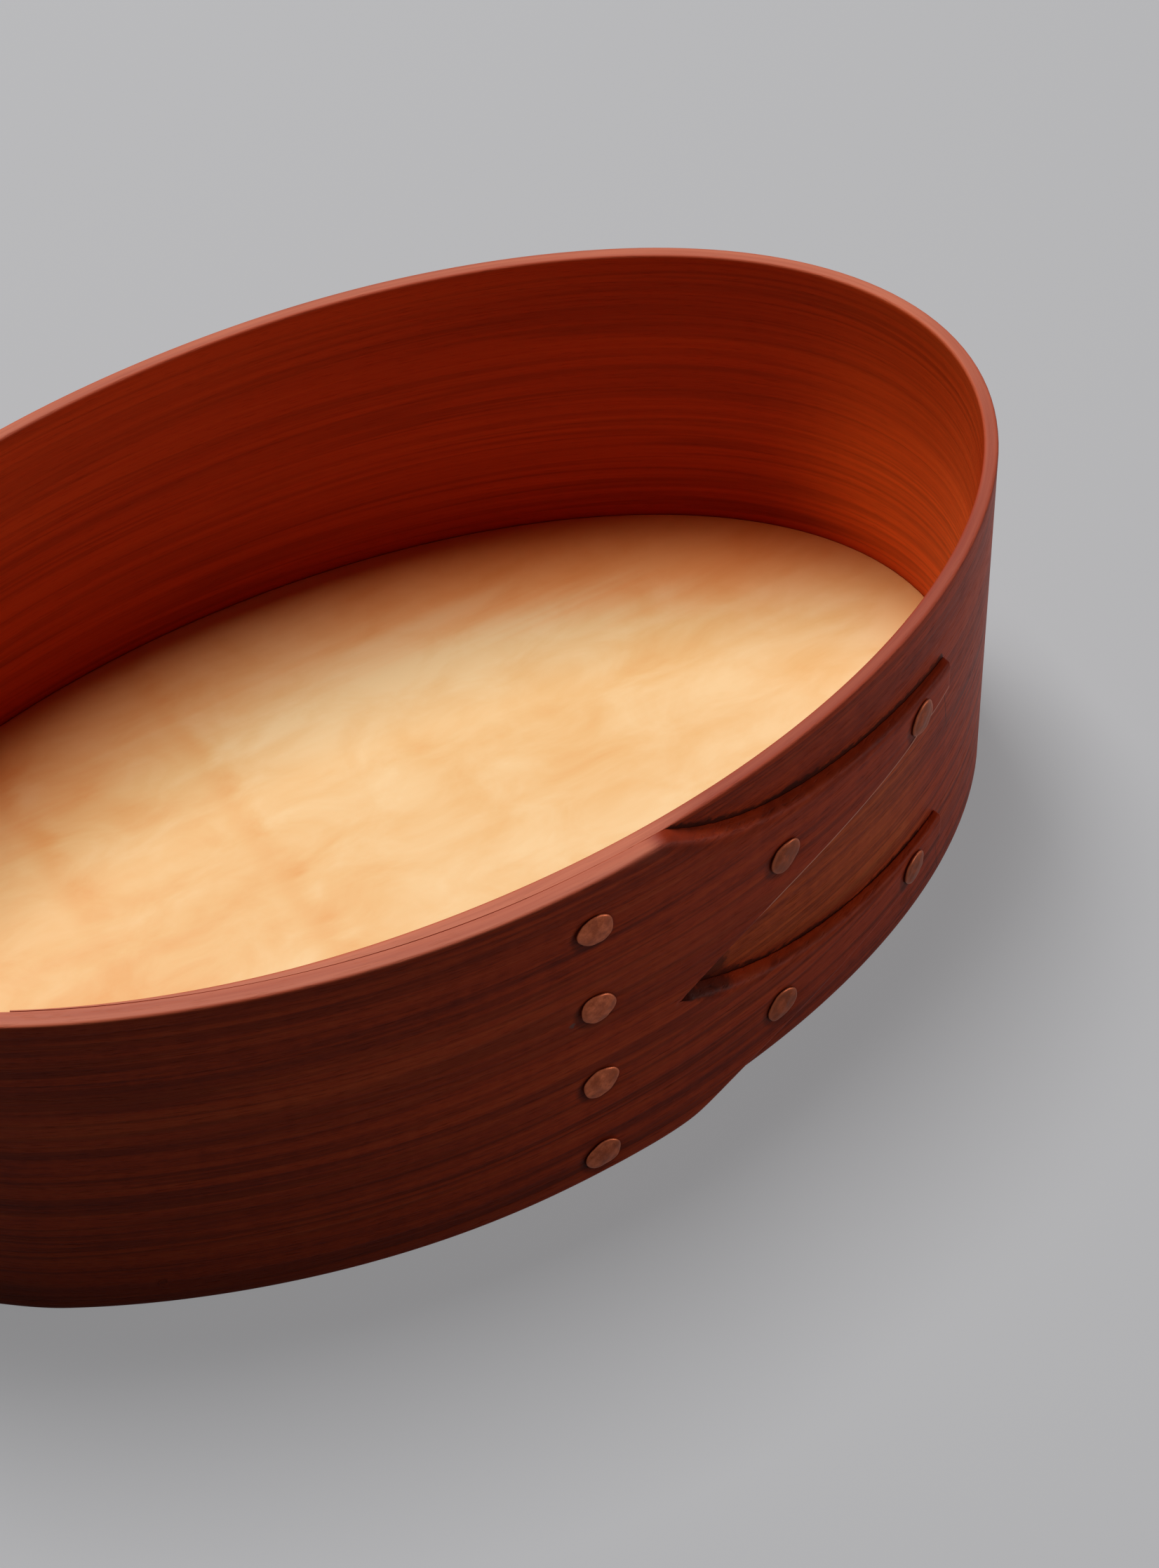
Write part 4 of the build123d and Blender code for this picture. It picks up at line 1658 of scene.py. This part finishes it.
@dataclass(frozen=True)
class Studio:
    """Plain pale floor, soft light and the camera at the photograph's angle."""

    target: Triple = (28.225 * MM, 2.067 * MM, 0.0)
    distance: float = 464.31 * MM
    azimuth: float = math.radians(-29.2528)
    elevation: float = math.radians(48.6573)
    roll: float = math.radians(-2.2576)
    focal_pixels: float = 5707.145
    sensor: float = 36.0
    clip_start: float = 0.01
    floor_rings: tuple[float, ...] = (0.0, 0.5, 2.0, 8.0)
    floor_sides: int = 64
    floor_pale: Colour = rgb(0.45, 0.45, 0.46)
    floor_bounce: Colour = rgb(0.20, 0.20, 0.20)
    floor_glow: float = 0.55
    even_from: float = 0.25
    even_to: float = 0.9
    sky: Colour = rgb(0.94, 0.97, 1.0)
    sky_strength: float = 0.012
    lamps: tuple[Lamp, ...] = (
        Lamp("key", (0.03, 0.35, 0.95), (0.32, 0.56), 1.16),
        Lamp("fill", (2.25, -1.28, 0.31), (1.32, 0.44), 0.23),
    )

    def camera(self) -> None:
        """Place the camera on its sphere round the target, turned by its roll."""
        flat = math.cos(self.elevation)
        back = Vector((
            math.sin(self.azimuth) * flat,
            -math.cos(self.azimuth) * flat,
            math.sin(self.elevation),
        ))
        right = Vector((0, 0, 1)).cross(back).normalized()
        up = back.cross(right)
        turned = right * math.cos(self.roll) + up * math.sin(self.roll)
        upright = up * math.cos(self.roll) - right * math.sin(self.roll)
        data = bpy.data.cameras.new("camera")
        data.sensor_width = self.sensor
        data.lens = self.focal_pixels * self.sensor / PICTURE_HEIGHT
        data.clip_start = self.clip_start
        camera = bpy.data.objects.new("camera", data)
        matrix = Matrix((turned, upright, back)).transposed().to_4x4()
        matrix.translation = Vector(self.target) + back * self.distance
        camera.matrix_world = matrix
        bpy.context.scene.collection.objects.link(camera)
        bpy.context.scene.camera = camera

    def floor(self) -> None:
        """A flat round floor, pale to the eye and greyer in what it throws back on the object.

        Round the object it takes light and shadow; farther off it turns to the even tone of the
        backdrop.
        """
        turn = np.linspace(0, 2 * np.pi, self.floor_sides, endpoint=False)
        reach = np.array(self.floor_rings)[:, None]
        flat = np.broadcast_arrays(reach * np.cos(turn), reach * np.sin(turn), 0.0)
        quads = grid_faces(len(reach), self.floor_sides, True).reshape(-1, 4).tolist()
        floor = Shell(np.stack(flat, axis=-1), quads).make("floor")
        material, desk = new_desk("studio_floor")
        seen = self._seen(desk)
        lit = desk.node("ShaderNodeBsdfDiffuse", inputs={"Color": self.floor_pale})
        even = desk.node("ShaderNodeEmission", inputs={"Color": self.floor_pale, "Strength": 1.0})
        span = desk.node("ShaderNodeVectorMath", {"operation": "LENGTH"}, {0: desk.object_place()})
        away = desk.out(span, "Value").step(self.even_from, self.even_to)
        pale = desk.between(self.floor_glow + (1 - self.floor_glow) * away, lit, even)
        grey = desk.node("ShaderNodeBsdfDiffuse", inputs={"Color": self.floor_bounce})
        mixed = desk.between(seen, grey, pale)
        desk.node("ShaderNodeOutputMaterial", inputs={"Surface": desk.out(mixed)})
        floor.data.materials.append(material)

    @staticmethod
    def _seen(desk: Desk) -> Signal:
        """Tell the rays that show the background: camera, glossy and transmission rays.

        Args:
            desk: The desk of the floor or the world.

        Returns:
            1 for those rays, 0 for the light on the object.
        """
        path = desk.node("ShaderNodeLightPath")
        seen = desk.out(path, "Is Camera Ray").either(desk.out(path, "Is Glossy Ray"))
        return seen.either(desk.out(path, "Is Transmission Ray"))

    def world(self) -> None:
        """Dim even sky light, with a pale backdrop where it is seen."""
        world = bpy.data.worlds.new("studio")
        world.use_nodes = True
        bpy.context.scene.world = world
        desk = Desk(world.node_tree)
        dim = {"Color": self.sky, "Strength": self.sky_strength}
        sky = desk.node("ShaderNodeBackground", inputs=dim)
        back = desk.node("ShaderNodeBackground", inputs={"Color": self.floor_pale, "Strength": 1.0})
        mixed = desk.between(self._seen(desk), sky, back)
        desk.node("ShaderNodeOutputWorld", inputs={"Surface": desk.out(mixed)})

    def build(self) -> None:
        """Set up the camera, the floor, the lights and the plain view."""
        self.camera()
        self.floor()
        self.world()
        for lamp in self.lamps:
            lamp.build()
        bpy.context.scene.view_settings.view_transform = "Standard"


def main() -> None:
    """Build the box and the studio, and report each piece."""
    logging.basicConfig(level=logging.INFO, format="%(name)s: %(message)s")
    for piece in Box.from_frame().build():
        log.info("%s: %d faces", piece.name, len(piece.data.polygons))
    Studio().build()


if __name__ == "__main__":
    main()
